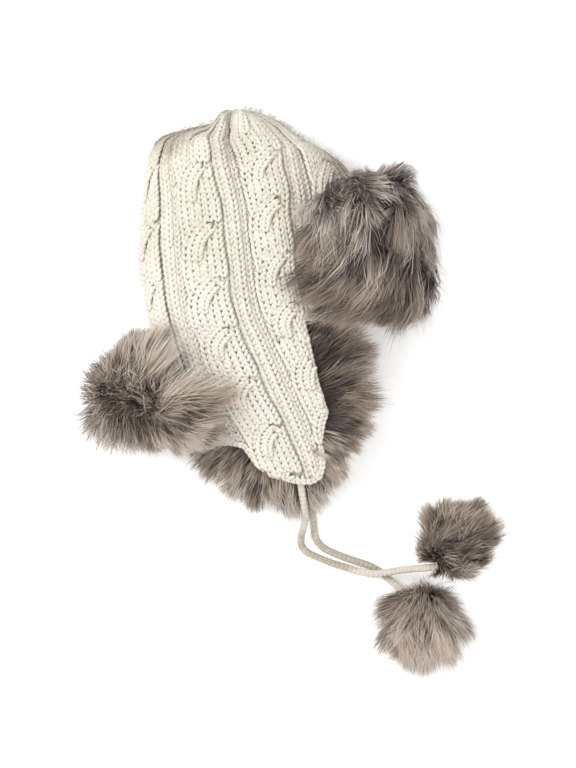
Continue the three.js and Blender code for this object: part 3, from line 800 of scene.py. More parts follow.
def yarn_tone_and_shade(column, row, rng):
    """How dark each stitch is: a little by chance, more round the crown's top except in the middle, which is
    painted shade, and a little less in the low rows, which is painted light.
    """
    drift = 0.08 * np.sin(1.9 * column + 0.9 * row) + 0.08 * np.sin(2.7 * column - 1.3 * row)
    low = 1 - ramp(8.0, 10.5, row)
    # dusk: painted shade round the crown's top, less a painted lift of the low rows, plus the chance drift
    # of the yarn's tone
    dusk = 1.05 * shoulders(column, row) - 0.2 * low + drift
    return np.floor(np.clip(dusk + rng.uniform(0, 0.35, len(row)), 0, 0.99) * TINTS)


def relief(body, column, row):
    """How far the knit stands up and dips: less where its columns are drawn together."""
    return np.clip(body.look_up(body.across_scale, column, row) / FULL_RELIEF_WIDTH, LEAST_RELIEF, 1)


def near_side(stitches):
    """Which stitches lie on the half that faces up, and a little round its edges."""
    turn = wrapped(stitches[:, 0])
    return (turn <= BROW + 0.7) | (turn >= NAPE + HALF_REPEATS - 0.5)


def gutter_bars(body, rng):
    """The purl bars that show as a ladder in the gutters between ribs and cables."""
    columns = []
    rows = []
    for repeat in range(HALF_REPEATS // 2):
        for side in (-1, 1):
            column = 2 * repeat - 2 + side * GUTTER_PLACE
            up = column_rows(body, column, ROW_PITCH)
            keep = up > body.rim_row(np.full(len(up), column)) + RIM_MARGIN
            rows.append(up[keep])
            columns.append(np.full(keep.sum(), column))
    column = np.concatenate(columns)
    row = np.concatenate(rows)
    t = np.linspace(-1, 1, 5)[None]
    across_mm = np.maximum(body.look_up(body.across_scale, column, row), 1.0)
    reach = np.minimum(BAR_REACH, 0.09 * across_mm)
    place, normal = body.point(
        column[:, None] + t * (reach / across_mm)[:, None],
        row[:, None] + 0.02 * t**2,
        (-3.1 - 0.6 * t**2) * relief(body, column, row)[:, None],
    )
    place[..., 2] = np.maximum(place[..., 2], 1.6)
    thick = np.array([1.0, 1.6, 1.8, 1.6, 1.0]) * np.minimum(1, reach / BAR_REACH)[:, None]
    return spindles(place, normal, thick, thick, 5, rng.integers(0, TINTS // 3, len(place)))


def fuzz(body, count, rng):
    """Fine loose fibres that stand off the yarn."""
    column = rng.uniform(NAPE - 1.5, BROW + 1.5, count)
    row = rng.uniform(2, TOP_ROW - 0.5, count)
    keep = row > body.rim_row(column) + 0.05
    column = column[keep]
    row = row[keep]
    count = len(row)
    repeat = np.abs((column + 1) % 2 - 1)
    place, normal = body.point(column, row, 0.5 + 2.5 * ramp(0.4, 0.9, repeat))
    drift = unit(np.cross(normal, rng.normal(size=(count, 3))))
    bend = unit(np.cross(normal, rng.normal(size=(count, 3))))
    length = (rng.uniform(3, 8, count) * (1 + 0.9 * shoulders(column, row)))[:, None]
    rise = rng.uniform(0.15, 0.9, count)[:, None]
    middle = place + (drift * 0.5 + normal * rise * 0.6) * length
    tip = place + (drift * 0.9 + bend * 0.5 + normal * rise * 0.7) * length
    side = unit(np.cross(drift, normal)) * 0.13
    points = np.stack((place - side, place + side, middle - side, middle + side, tip), axis=1).reshape(-1, 3)
    points[:, 2] = np.maximum(points[:, 2], LEAST_HEIGHT)
    faces = []
    for start in range(0, 5 * count, 5):
        faces.append((start, start + 1, start + 3, start + 2))
        faces.append((start + 2, start + 3, start + 4))
    across = STRIP_LOW + STRIP_WIDTH * np.array([0, 1, 0, 1, 0.5])
    along = np.array([0.3, 0.3, 0.5, 0.5, 0.65])
    # The fibres take the random tone and painted shade of the stitches round them.
    bucket = yarn_tone_and_shade(column, row, rng)
    uv = np.stack(((bucket[:, None] + across) / TINTS, np.broadcast_to(along, (count, 5))), axis=-1)
    return points, faces, uv.reshape(-1, 2)


def rim_edging(body, rng):
    """Chains of stitches that bind the lower edge of the knit, outside and inside."""
    fine = np.arange(NAPE, NAPE + HALF_REPEATS, 0.01)
    line, _ = body.point(fine, body.rim_row(fine), np.zeros(len(fine)))
    length = length_along(line)
    places = np.arange(0, length[-1], EDGE_PITCH)
    t = np.linspace(-EDGE_REACH, EDGE_REACH, 6)
    bow = 1 - (t / EDGE_REACH) ** 2
    centres = []
    normals = []
    for lane, depth in ((-1, 0.6), (1, 0.6), (-1, -5.0), (1, -5.0)):
        along = places[:, None] + EDGE_PITCH * t[None]
        column = np.interp(along.ravel() % length[-1], length, fine).reshape(along.shape)
        middle, normal = body.point(column, body.rim_row(column), np.full(column.shape, depth))
        tangent = unit(np.gradient(middle, axis=1))
        outward = unit(np.cross(tangent, normal))
        drift = lane * (0.55 + 1.5 * (t + EDGE_REACH) / (2 * EDGE_REACH))
        place = middle + outward * (drift[None, :, None] + 0.4)
        place = place + normal * (np.sign(depth) * (bow[None, :, None] - 0.9))
        place[..., 2] = np.maximum(place[..., 2], 1.9)
        centres.append(place)
        normals.append(normal)
    centres = np.concatenate(centres)
    size = np.broadcast_to(2.0 * (0.4 + 0.6 * bow), centres.shape[:2])
    tints = rng.integers(0, TINTS // 3, len(centres))
    return spindles(centres, np.concatenate(normals), size, size, 5, tints)


def join(*parts):
    """Several sets of points, faces and UVs as one."""
    points = []
    faces = []
    uv = []
    start = 0
    for part_points, part_faces, part_uv in parts:
        points.append(part_points)
        faces.extend(tuple(start + corner for corner in face) for face in part_faces)
        uv.append(part_uv)
        start += len(part_points)
    return np.concatenate(points), faces, np.concatenate(uv)


def backing(body):
    """The fabric under the stitches: an outer sheet, the purl side within, and the rim between."""
    columns = NAPE + np.arange(0, HALF_REPEATS, 0.1)
    count = len(columns)
    steps = 56
    lower = 24
    split = 9.5
    rim = body.rim_row(columns)
    rows = np.zeros((count, steps))
    rows[:, : lower + 1] = rim[:, None] + (split - rim)[:, None] * np.linspace(0, 1, lower + 1)
    rows[:, lower:] = np.linspace(split, TOP_ROW - 0.1, steps - lower)
    grid = np.broadcast_to(columns[:, None], rows.shape)
    repeat = np.abs((grid + 1) % 2 - 1)
    cable = np.sqrt(np.clip(1 - ((1 - repeat) / CABLE_HALF) ** 2, 0, 1))
    rib = np.sqrt(np.clip(1 - (repeat / RIB_HALF) ** 2, 0, 1))
    outer, _ = body.point(grid, rows, (-3.5 + 2.8 * cable + 1.4 * rib) * relief(body, grid, rows))
    outer[..., 2] = np.maximum(outer[..., 2], 0.5)
    purl = 0.5 * np.cos(np.pi * np.arange(steps))[None] * np.cos(20 * np.pi * grid)
    follow = ramp(7, 12, rows) * np.minimum(0, fold_rise(grid, rows))
    inward = (follow - WALL + purl)[..., None]
    inner = body.look_up(body.points, grid, rows) + unit(body.look_up(body.normals, grid, rows)) * inward
    inner[..., 2] = np.maximum(inner[..., 2], WALL - 0.3)
    points = np.concatenate((outer.reshape(-1, 3), inner.reshape(-1, 3)))
    offset = count * steps
    faces = []
    for i in range(count):
        a = i * steps
        b = ((i + 1) % count) * steps
        for j in range(steps - 1):
            faces.append((a + j, b + j, b + j + 1, a + j + 1))
            faces.append((offset + a + j, offset + a + j + 1, offset + b + j + 1, offset + b + j))
        faces.append((a, offset + a, offset + b, b))
    for start, turn in ((0, 1), (offset, -1)):
        ring = [start + i * steps + steps - 1 for i in range(count)]
        faces.append(tuple(ring[::turn]))
    # The backing takes the dark end of the yarn's ramp, painted shade in the gaps between the stitches.
    uv = chequered(np.arange(count)[:, None], np.arange(steps)[None], BACKING_V)
    return points, faces, np.concatenate((uv, uv))


# Fur


def nearest(points, keepers):
    """For each point, which of the keepers lies nearest."""
    tree = kdtree.KDTree(len(keepers))
    for k, keeper in enumerate(points[keepers]):
        tree.insert(keeper.tolist(), k)
    tree.balance()
    return np.array([tree.find(point)[1] for point in points.tolist()])


class Locks:
    """Strands sorted into locks, each lock round one strand that leads it."""

    def __init__(self, roots, count, rng):
        self.count = count
        self.leaders = rng.choice(len(roots), size=count, replace=False)
        self.number = nearest(roots, self.leaders)

    def share(self, values):
        """For each strand the value that its lock has."""
        return values[self.number]

    def lead(self, values):
        """For each strand the value of the strand that leads its lock."""
        return values[self.leaders][self.number]


def strand_paths(pelt, large, small, guard, rng):
    """The middle line of each strand, at four points from root to tip."""
    t = np.array(STATIONS)[None, :, None]
    outs = pelt["outs"][:, None]
    own = 0.65 * pelt["lengths"] + 0.35 * large.lead(pelt["lengths"])
    length = (own * np.where(guard, GUARD_LENGTH, 1.0))[:, None, None]
    base = pelt["roots"][:, None] + unit(pelt["flows"])[:, None] * length * t
    base = base + pelt["sweep"][:, None] * length * t**2
    base = base - outs * (length * t) ** 2 / (2 * pelt["radius"])
    swirl = large.share(unit(rng.normal(size=(large.count, 3))))[:, None]
    phase = large.share(rng.uniform(0, 2 * math.pi, large.count))[:, None, None]
    wave = np.sin(2.6 * t * math.pi * 0.5 + phase) - np.sin(phase)
    base = base + swirl * length * pelt["curl"] * wave
    small_swirl = small.share(unit(rng.normal(size=(small.count, 3))))[:, None]
    base = base + small_swirl * length * (SMALL_SWIRL * np.sin(1.7 * math.pi * t) * t)
    stand = large.share(rng.normal(0, pelt["stand"], large.count))[:, None, None]
    base = base + outs * stand * t
    flare = 1 - 0.45 * ramp(0.6, 1.0, t)
    hold_large = pelt["hold"][0] * t**1.1 * flare
    hold_small = pelt["hold"][1] * t**0.9 * flare
    gathered = base * (1 - hold_large) + large.lead(base) * hold_large
    path = gathered * (1 - hold_small) + small.lead(gathered) * hold_small
    stray = np.where(guard, GUARD_STRAY, STRAY)[:, None, None]
    path = path + rng.normal(size=(len(guard), 1, 3)) * stray * length * t
    path[..., 2] = np.maximum(path[..., 2], LEAST_HEIGHT)
    return path


def strand_tones(pelt, large, small, guard, rng):
    """How pale each strand is, by its place, its locks, chance and kind."""
    tone = pelt["tones"] + large.share(rng.normal(0, TONE_SPREADS["large"], large.count))
    tone = tone + small.share(rng.normal(0, TONE_SPREADS["small"], small.count))
    return tone + rng.normal(0, TONE_SPREADS["strand"], len(guard)) + GUARD_PALER * guard


def clear_of(path, line):
    """Which strands lie beside a tie's line or well under it."""
    clear = np.ones(len(path), dtype=bool)
    for station in range(path.shape[1]):
        apart = path[:, station, None, :2] - line[None, :, :2]
        distance = np.linalg.norm(apart, axis=-1)
        at = distance.argmin(axis=1)
        over = path[:, station, 2] > line[at, 2] - TIE_DEPTH
        clear &= ~((distance.min(axis=1) < TIE_CLEARANCE) & over)
    return clear


def ribbons(path, outs, widths, tone, rng):
    """A ribbon along each path, of two quads and a pointed tip, twisted a little and softly shaded."""
    count = len(path)
    along = unit(np.gradient(path, axis=1))
    twist = rng.normal(0, 0.6, count)[:, None, None]
    side = unit(np.cross(along, outs[:, None]))
    other = unit(np.cross(side, along))
    side = unit(side * np.cos(twist) + other * np.sin(twist))
    half = (widths[:, None] * np.array(STATION_WIDTHS)[None] / 2)[..., None]
    edges = np.stack((path - side * half, path + side * half), axis=2)[:, :3]
    edges[..., 2] = np.maximum(edges[..., 2], LEAST_HEIGHT / 2)
    points = np.concatenate((edges.reshape(count, 6, 3), path[:, 3:]), axis=1).reshape(-1, 3)
    station = np.array([0, 0, 1, 1, 2, 2, 3])
    first = len(station) * np.arange(count)[:, None]
    quads = np.concatenate((first + np.array([0, 1, 3, 2]), first + np.array([2, 3, 5, 4])))
    tips = first + np.array([4, 5, 6])
    faces = [tuple(face) for face in quads.tolist()] + [tuple(face) for face in tips.tolist()]
    bucket = np.floor(np.clip(tone, 0, 0.999) * TINTS)
    u = STRIP_LOW + STRIP_WIDTH * np.array([0, 1, 0, 1, 0, 1, 0.5])
    v = np.clip(STATIONS, ROOT_V, TIP_V)[station]
    uv = np.stack(np.broadcast_arrays((bucket[:, None] + u) / TINTS, v), axis=-1)
    soft = unit(outs[:, None] * 0.8 + other * 0.7 + 0.2 * rng.normal(size=(count, 1, 3)))
    return points, faces, uv.reshape(-1, 2), soft[:, station].reshape(-1, 3)


def strands(pelt, rng):
    """Tapered ribbons of fur, drawn together into small locks, and those into large ones.

    pelt holds for each strand its root, the way out of the skin, flow, sweep, length, width and tone,
    and for them all the skin's radius, the count of large and of small locks, and what to keep off.
    """
    large = Locks(pelt["roots"], pelt["locks"][0], rng)
    small = Locks(pelt["roots"], pelt["locks"][1], rng)
    guard = rng.uniform(size=len(pelt["roots"])) < GUARD_SHARE
    path = strand_paths(pelt, large, small, guard, rng)
    tone = strand_tones(pelt, large, small, guard, rng)
    tips = path[:, -1] + ORIGIN_SHIFT
    keep = np.all((tips > FUR_LOW) & (tips < FUR_HIGH), axis=1)
    if "keep_off" in pelt:
        keep &= clear_of(path, pelt["keep_off"])
    widths = pelt["widths"] * np.where(guard, GUARD_WIDTH, 1.0)
    return ribbons(path[keep], pelt["outs"][keep], widths[keep], tone[keep], rng)


def cuff_place(body, cuff, s, t, share):
    """A point of a fur cuff: s along the cuff, t across it, share from the knit out to its face."""
    column = cuff["from"] + (cuff["to"] - cuff["from"]) * s
    row = cuff["low"] + (cuff["high"] - cuff["low"]) * t
    across = np.sqrt(np.clip(1 - np.abs(2 * t - 1) ** CUFF_FACE_POWER, 0, 1))
    ends = np.sqrt(np.clip(1 - np.abs(2 * s - 1) ** cuff["end_power"], 0, 1))
    thick = cuff["edge"] + (cuff["thick"] - cuff["edge"]) * across * ends
    lift = FUR_SEAT + share * (thick - FUR_SEAT)
    place = body.look_up(body.points, column, row)
    normal = unit(body.look_up(body.normals, column, row))
    rise = np.maximum(0, fold_rise(column, row)) + lift
    place = place + normal * rise[..., None]
    lean = cuff["lean"] * (t - cuff["level"])
    place[..., 1] += share * lean
    return place


def cuff_backing(body, cuff, ends):
    """A closed pad under the fur of a cuff."""
    s, t = np.meshgrid(np.linspace(0.02, 0.98, 25), np.linspace(0.04, 0.86, 13), indexing="ij")
    first, last = ends(t)
    s = first + (last - first) * s
    low, high = (cuff_place(body, cuff, s, t, share) for share in CUFF_PAD)
    low[..., 2] = np.maximum(low[..., 2], LEAST_HEIGHT)
    high[..., 2] = np.maximum(high[..., 2], LEAST_HEIGHT * 1.5)
    return slab(low, high)


def slab(low, high):
    """A closed pad between two grids of points."""
    wide, tall = low.shape[:2]
    layer = wide * tall
    faces = []
    for i in range(wide - 1):
        for j in range(tall - 1):
            a = i * tall + j
            faces.append((layer + a, layer + a + tall, layer + a + tall + 1, layer + a + 1))
            faces.append((a, a + 1, a + tall + 1, a + tall))
    edges = []
    for i in range(wide - 1):
        edges.append((i * tall, (i + 1) * tall))
        edges.append(((i + 2) * tall - 1, (i + 1) * tall - 1))
    last = (wide - 1) * tall
    for j in range(tall - 1):
        edges.append((j + 1, j))
        edges.append((last + j, last + j + 1))
    faces.extend((a, b, layer + b, layer + a) for a, b in edges)
    uv = chequered(np.arange(wide)[:, None], np.arange(tall)[None], PAD_V)
    return np.concatenate((low.reshape(-1, 3), high.reshape(-1, 3))), faces, np.concatenate((uv, uv))


def with_normals(part):
    """A pad with its own smooth normals, to be joined with strands."""
    points, faces, uv = part
    normals = np.zeros_like(points)
    for face in faces:
        a, b, c = points[face[0]], points[face[1]], points[face[2]]
        normal = np.cross(b - a, c - a)
        for corner in face:
            normals[corner] += normal
    return points, faces, uv, unit(normals)


def make_fur(name, pad, hair, material):
    """A piece of fur: its strands and the pad that they grow from."""
    points, faces, uv, normals = hair
    pad_points, pad_faces, pad_uv, pad_normals = with_normals(pad)
    start = len(points)
    return make_mesh(
        name,
        np.concatenate((points, pad_points)),
        faces + [tuple(start + corner for corner in face) for face in pad_faces],
        np.concatenate((uv, pad_uv)),
        material,
        "brown_fur",
        normals=np.concatenate((normals, pad_normals)),
    )


# Materials


def new_material(name, roughness):
    """A material with nothing but a shader and its output."""
    material = bpy.data.materials.new(name)
    material.use_nodes = True
    nodes = material.node_tree.nodes
    nodes.clear()
    output = nodes.new("ShaderNodeOutputMaterial")
    shader = nodes.new("ShaderNodeBsdfPrincipled")
    shader.inputs["Roughness"].default_value = roughness
    shader.inputs["Specular IOR Level"].default_value = 0.2
    material.node_tree.links.new(shader.outputs["BSDF"], output.inputs["Surface"])
    return material, shader


def colour_ramp(nodes, stops):
    """A ramp node with a colour at each of the stops."""
    node = nodes.new("ShaderNodeValToRGB")
    elements = node.color_ramp.elements
    elements.remove(elements[-1])
    elements[0].position = stops[0][0]
    elements[0].color = (*stops[0][1], 1)
    for position, colour in stops[1:]:
        elements.new(position).color = (*colour, 1)
    return node


def math_node(tree, operation, first, second=None):
    """What a sum of one or two numbers or sockets gives."""
    node = tree.nodes.new("ShaderNodeMath")
    node.operation = operation
    for i, value in enumerate((first, second)):
        if value is None:
            continue
        if isinstance(value, (int, float)):
            node.inputs[i].default_value = value
        else:
            tree.links.new(value, node.inputs[i])
    return node.outputs[0]


def strand_coordinates(tree):
    """The tint's number and the places across and along the strand, read from the UV map."""
    source = tree.nodes.new("ShaderNodeUVMap")
    source.uv_map = "OFBake"
    parts = tree.nodes.new("ShaderNodeSeparateXYZ")
    tree.links.new(source.outputs["UV"], parts.inputs["Vector"])
    scaled = math_node(tree, "MULTIPLY", parts.outputs["X"], float(TINTS))
    bucket = math_node(tree, "FLOOR", scaled)
    across = math_node(tree, "FRACT", scaled)
    return bucket, across, parts.outputs["Y"]


def mix_colours(tree, kind, factor, first, second):
    """Two colours mixed, each of them a tuple or a socket."""
    node = tree.nodes.new("ShaderNodeMix")
    node.data_type = "RGBA"
    node.blend_type = kind
    for socket, value in zip((node.inputs[0], node.inputs[6], node.inputs[7]), (factor, first, second)):
        if isinstance(value, (int, float)):
            socket.default_value = value
        elif isinstance(value, tuple):
            socket.default_value = (*value, 1)
        else:
            tree.links.new(value, socket)
    return node.outputs[2]


def knit_material(name, colour, shade):
    """Plied yarn with painted shade where it dips, times the darkening of each stitch: its random tone and
    painted shade.
    """
    material, shader = new_material(name, 0.95)
    tree = material.node_tree
    bucket, across, along = strand_coordinates(tree)
    tint = math_node(tree, "DIVIDE", bucket, float(TINTS - 1))
    # Painted shade: the yarn's colour times shade at both ends of each leg, where it dips.
    deep = tuple(c * s for c, s in zip(colour, shade))
    body = colour_ramp(tree.nodes, [(0.0, deep), (0.22, colour), (0.7, colour), (1.0, deep)])
    tree.links.new(along, body.inputs["Fac"])
    # Painted shade and random tone by each stitch's bucket: the crown's top and the ties' shaded stretch are
    # darker.
    tone_and_shade_ramp = colour_ramp(
        tree.nodes,
        [(0.0, (1.0, 1.0, 1.0)), (0.3, (0.91, 0.89, 0.85)), (1.0, (0.6, 0.56, 0.51))],
    )
    tree.links.new(tint, tone_and_shade_ramp.inputs["Fac"])
    mixed = mix_colours(tree, "MULTIPLY", 1.0, body.outputs["Color"], tone_and_shade_ramp.outputs["Color"])
    tree.links.new(mixed, shader.inputs["Base Color"])
    ply = math_node(tree, "ADD", math_node(tree, "MULTIPLY", along, PLY_TURNS), across)
    wave = math_node(tree, "SINE", math_node(tree, "MULTIPLY", ply, 2 * math.pi))
    bump = tree.nodes.new("ShaderNodeBump")
    bump.inputs["Strength"].default_value = 0.25
    bump.inputs["Distance"].default_value = 0.0004
    tree.links.new(wave, bump.inputs["Height"])
    tree.links.new(bump.outputs["Normal"], shader.inputs["Normal"])
    shader.inputs["Sheen Weight"].default_value = 0.25
    shader.inputs["Sheen Roughness"].default_value = 0.6
    return material


def fur_material(name, root, middle, tip, light):
    """Dark undercoat, tan lengths and pale guard hairs, by the tone that each strand has."""
    material, shader = new_material(name, 0.75)
    tree = material.node_tree
    bucket, _, along = strand_coordinates(tree)
    tone = math_node(tree, "DIVIDE", bucket, float(TINTS - 1))
    odd = math_node(tree, "MODULO", bucket, 2.0)
    grey = tuple(0.55 * channel + 0.15 * sum(tip) for channel in tip)
    deep = tuple(0.68 * a + 0.32 * b for a, b in zip(root, middle))
    dusky = tuple(0.35 * a + 0.65 * b for a, b in zip(root, middle))
    dark = colour_ramp(tree.nodes, [(0.0, root), (0.55, root), (0.82, deep), (1.0, dusky)])
    tan = colour_ramp(tree.nodes, [(0.0, root), (0.4, root), (0.75, middle), (1.0, tip)])
    pale = colour_ramp(tree.nodes, [(0.0, root), (0.25, middle), (0.65, tip), (1.0, light)])
    silver = colour_ramp(tree.nodes, [(0.0, root), (0.3, root), (0.65, grey), (1.0, light)])
    for node in (dark, tan, pale, silver):
        tree.links.new(along, node.inputs["Fac"])
    low = tree.nodes.new("ShaderNodeMapRange")
    high = tree.nodes.new("ShaderNodeMapRange")
    for node, start, end in ((low, 0.1, 0.5), (high, 0.5, 0.95)):
        node.inputs["From Min"].default_value = start
        node.inputs["From Max"].default_value = end
        tree.links.new(tone, node.inputs["Value"])
    bright = mix_colours(tree, "MIX", odd, pale.outputs["Color"], silver.outputs["Color"])
    first = mix_colours(tree, "MIX", low.outputs["Result"], dark.outputs["Color"], tan.outputs["Color"])
    second = mix_colours(tree, "MIX", high.outputs["Result"], first, bright)
    tree.links.new(second, shader.inputs["Base Color"])
    return material


def plain_material(name, colour, roughness, glow):
    """One even colour that glows a little."""
    material, shader = new_material(name, roughness)
    shader.inputs["Base Color"].default_value = (*colour, 1)
    shader.inputs["Emission Color"].default_value = (*colour, 1)
    shader.inputs["Emission Strength"].default_value = glow
    return material


# Settings


class TrapperHatKnit(bpy.types.PropertyGroup):
    """The yarn of the crown"""

    colour: bpy.props.FloatVectorProperty(
        name="Yarn colour",
        description="Colour of the knit's yarn",
        subtype="COLOR",
        default=(0.645, 0.615, 0.545),
        min=0,
        max=1,
    )
    shade: bpy.props.FloatVectorProperty(
        name="Shade",
        description="What the yarn's colour is multiplied by where it dips",
        subtype="COLOR",
        default=(0.84, 0.8, 0.74),
        min=0,
        max=1,
    )
    yarn: bpy.props.FloatProperty(
        name="Yarn radius",
        description="Radius of the plump middle of a stitch's leg",
        default=2.15 * MM,
        unit="LENGTH",
        min=0.001,
        max=0.004,
    )


class TrapperHatFur(bpy.types.PropertyGroup):
    """The colours and the strands of the fur"""

    root: bpy.props.FloatVectorProperty(
        name="Root colour",
        description="Colour of the fur at its roots",
        subtype="COLOR",
        default=(0.098, 0.083, 0.075),
        min=0,
        max=1,
    )
    middle: bpy.props.FloatVectorProperty(
        name="Middle colour",
        description="Colour of the fur half way up",
        subtype="COLOR",
        default=(0.385, 0.3, 0.232),
        min=0,
        max=1,
    )
    tip: bpy.props.FloatVectorProperty(
        name="Tip colour",
        description="Colour of the fur at its tips",
        subtype="COLOR",
        default=(0.64, 0.51, 0.395),
        min=0,
        max=1,
    )
    light: bpy.props.FloatVectorProperty(
        name="Light tip colour",
        description="Colour of the palest tips",
        subtype="COLOR",
        default=(0.7, 0.63, 0.55),
        min=0,
        max=1,
    )
    density: bpy.props.FloatProperty(
        name="Density",
        description="Share of the full count of strands",
        default=1.0,
        subtype="FACTOR",
        min=0.05,
        max=1.0,
    )
    width: bpy.props.FloatProperty(
        name="Strand width",
        description="Width of a ribbon of fur",
        default=0.8 * MM,
        unit="LENGTH",
        min=0.0003,
        max=0.004,
    )


class TrapperHatTies(bpy.types.PropertyGroup):
    """The yarn and the width of the ties"""

    colour: bpy.props.FloatVectorProperty(
        name="Tie colour",
        description="Colour of the ties' yarn",
        subtype="COLOR",
        default=(0.61, 0.57, 0.49),
        min=0,
        max=1,
    )
    shade: bpy.props.FloatVectorProperty(
        name="Tie shade",
        description="What the ties' colour is multiplied by where the yarn dips",
        subtype="COLOR",
        default=(0.7, 0.66, 0.6),
        min=0,
        max=1,
    )
    width: bpy.props.FloatProperty(
        name="Tie width",
        description="Width of the knitted ties",
        default=TIE_WIDTH * MM,
        unit="LENGTH",
        min=0.004,
        max=0.012,
    )


class TrapperHatStage(bpy.types.PropertyGroup):
    """The surface and the light on it"""

    floor_colour: bpy.props.FloatVectorProperty(
        name="Floor colour",
        description="Colour of the surface",
        subtype="COLOR",
        default=(0.97, 0.97, 0.97),
        min=0,
        max=1,
    )
    sky: bpy.props.FloatProperty(
        name="Ambient light",
        description="Strength of the light from all round",
        default=0.85,
        min=0,
        max=5,
    )
    key: bpy.props.FloatProperty(
        name="Key light",
        description="Power of the main soft light",
        default=52.0,
        unit="POWER",
        min=0,
        max=1000,
    )


class TRAPPERHAT_OT_stage(bpy.types.Operator):
    """Adds the camera above the hat, the floor and soft lights"""

    bl_idname = "trapper_hat.stage"
    bl_label = "Stage"

    def execute(self, context):
        settings = context.scene.trapper_hat_stage
        put_camera(context)
        mesh = bpy.data.meshes.new("floor")
        reach = FLOOR_REACH
        corners = [(-reach, -reach, 0), (reach, -reach, 0), (reach, reach, 0), (-reach, reach, 0)]
        mesh.from_pydata(corners, [], [(0, 1, 2, 3)])
        finish = plain_material("floor", tuple(settings.floor_colour), FLOOR_ROUGHNESS, FLOOR_GLOW)
        mesh.materials.append(finish)
        floor = bpy.data.objects.new("floor", mesh)
        context.scene.collection.objects.link(floor)
        world = bpy.data.worlds.new("studio")
        world.use_nodes = True
        background = world.node_tree.nodes["Background"]
        background.inputs["Color"].default_value = (1, 1, 1, 1)
        background.inputs["Strength"].default_value = settings.sky
        context.scene.world = world
        for name, place, share, size in LIGHTS:
            put_light(context, name, place, settings.key * share, size)
        context.scene.view_settings.view_transform = "Standard"
        return {"FINISHED"}


def put_camera(context):
    """The camera straight above the hat, with the photo's height in view."""
    middle = CAMERA_AIM + ORIGIN_SHIFT
    data = bpy.data.cameras.new("photo_camera")
    data.sensor_width = SENSOR_WIDTH
    data.lens = SENSOR_WIDTH * CAMERA_DISTANCE / VIEW_HEIGHT
    data.clip_end = 30
    camera = bpy.data.objects.new("photo_camera", data)
    camera.location = (middle[0] * MM, middle[1] * MM, middle[2] * MM + CAMERA_DISTANCE)
    context.scene.collection.objects.link(camera)
    context.scene.camera = camera


def put_light(context, name, place, power, size):
    """A soft square light that is turned to the middle of the floor."""
    lamp = bpy.data.lights.new(name, "AREA")
    lamp.energy = power
    lamp.size = size
    light = bpy.data.objects.new(name, lamp)
    light.location = place
    aim = -np.array(place)
    light.rotation_euler = (
        math.atan2(math.hypot(aim[0], aim[1]), -aim[2]),
        0,
        math.atan2(aim[1], aim[0]) - math.pi / 2,
    )
    context.scene.collection.objects.link(light)


def tie_centreline(route, step):
    """Points at even lengths along a smooth curve through the route, and the length to each."""
    route = np.array(route, dtype=float)
    count = len(route) - 1
    at = np.linspace(0, count, count * 24 + 1)
    i = np.minimum(at.astype(int), count - 1)
    t = (at - i)[:, None]
    padded = np.concatenate(([2 * route[0] - route[1]], route, [2 * route[-1] - route[-2]]))
    a, b, c, d = padded[i], padded[i + 1], padded[i + 2], padded[i + 3]
    fine = 0.5 * (2 * b + (c - a) * t + (2 * a - 5 * b + 4 * c - d) * t**2 + (3 * b - a - 3 * c + d) * t**3)
    length = length_along(fine)
    places = np.linspace(0, length[-1], max(8, int(length[-1] / step)) + 1)
    line = np.stack([np.interp(places, length, fine[:, k]) for k in range(3)], axis=-1)
    return line, places


def tie_frames(line):
    """The ways to the side and out of a tie at each point of its line."""
    along = unit(np.gradient(line, axis=0))
    side = unit(np.cross(along, UP))
    return side, unit(np.cross(side, along))


def make_tie(name, route, width, material, rng):
    """A knitted cord: columns of small stitches round a core, along the route."""
    line, places = tie_centreline(route, 1.0)
    side, out = tie_frames(line)
    total = places[-1]
    across = width / 2 - TIE_YARN
    deep = width * 0.42 - TIE_YARN
    t = np.linspace(0, 1, 6)
    bow = 4 * t * (1 - t)
    grow = 0.78 + 0.22 * bow
    starts = np.linspace(0.3 * TIE_PITCH, total - 0.5 * TIE_PITCH, round(total / TIE_PITCH))
    at = np.clip(starts[:, None] + TIE_PITCH * 1.6 * (t[None] - 0.4), 0, total)
    middles, sides, outs = (
        np.stack([np.interp(at, places, values[:, axis]) for axis in range(3)], axis=-1)
        for values in (line, side, out)
    )
    centres = []
    normals = []
    for k in range(TIE_COLUMNS):
        angle = 2 * math.pi * (k + 0.5) / TIE_COLUMNS
        for hand in (-1, 1):
            turn = angle + hand * (0.05 + 0.36 * t) * 2 * math.pi / TIE_COLUMNS
            cosine = np.cos(turn)
            sine = np.sin(turn)
            place = middles + sides * (across * cosine * grow)[None, :, None]
            centres.append(place + outs * (deep * sine * grow)[None, :, None])
            normals.append(unit(sides * cosine[None, :, None] + outs * sine[None, :, None]))
    centres = np.concatenate(centres)
    centres[..., 2] = np.maximum(centres[..., 2], TIE_YARN * 0.9)
    size = np.broadcast_to(TIE_YARN * (0.45 + 0.55 * bow**0.7), centres.shape[:2])
    # Painted shade along the stretch that TIE_SHADED gives, on top of a random tone of the yarn.
    dusk = np.tile(plateau(starts, *TIE_SHADED), 2 * TIE_COLUMNS)
    tints = np.floor((0.7 * dusk + rng.uniform(0, 0.29, len(centres))) * TINTS)
    yarns = spindles(centres, np.concatenate(normals), size, size * 0.9, 5, tints)
    sparse = np.linspace(0, len(line) - 1, len(line) // 4 + 1).round().astype(int)
    core = tube(line[sparse], side[sparse], out[sparse], across * 0.85, deep * 0.85, 10)
    return make_mesh(name, *join(yarns, core), material, "cream_cord"), line, total


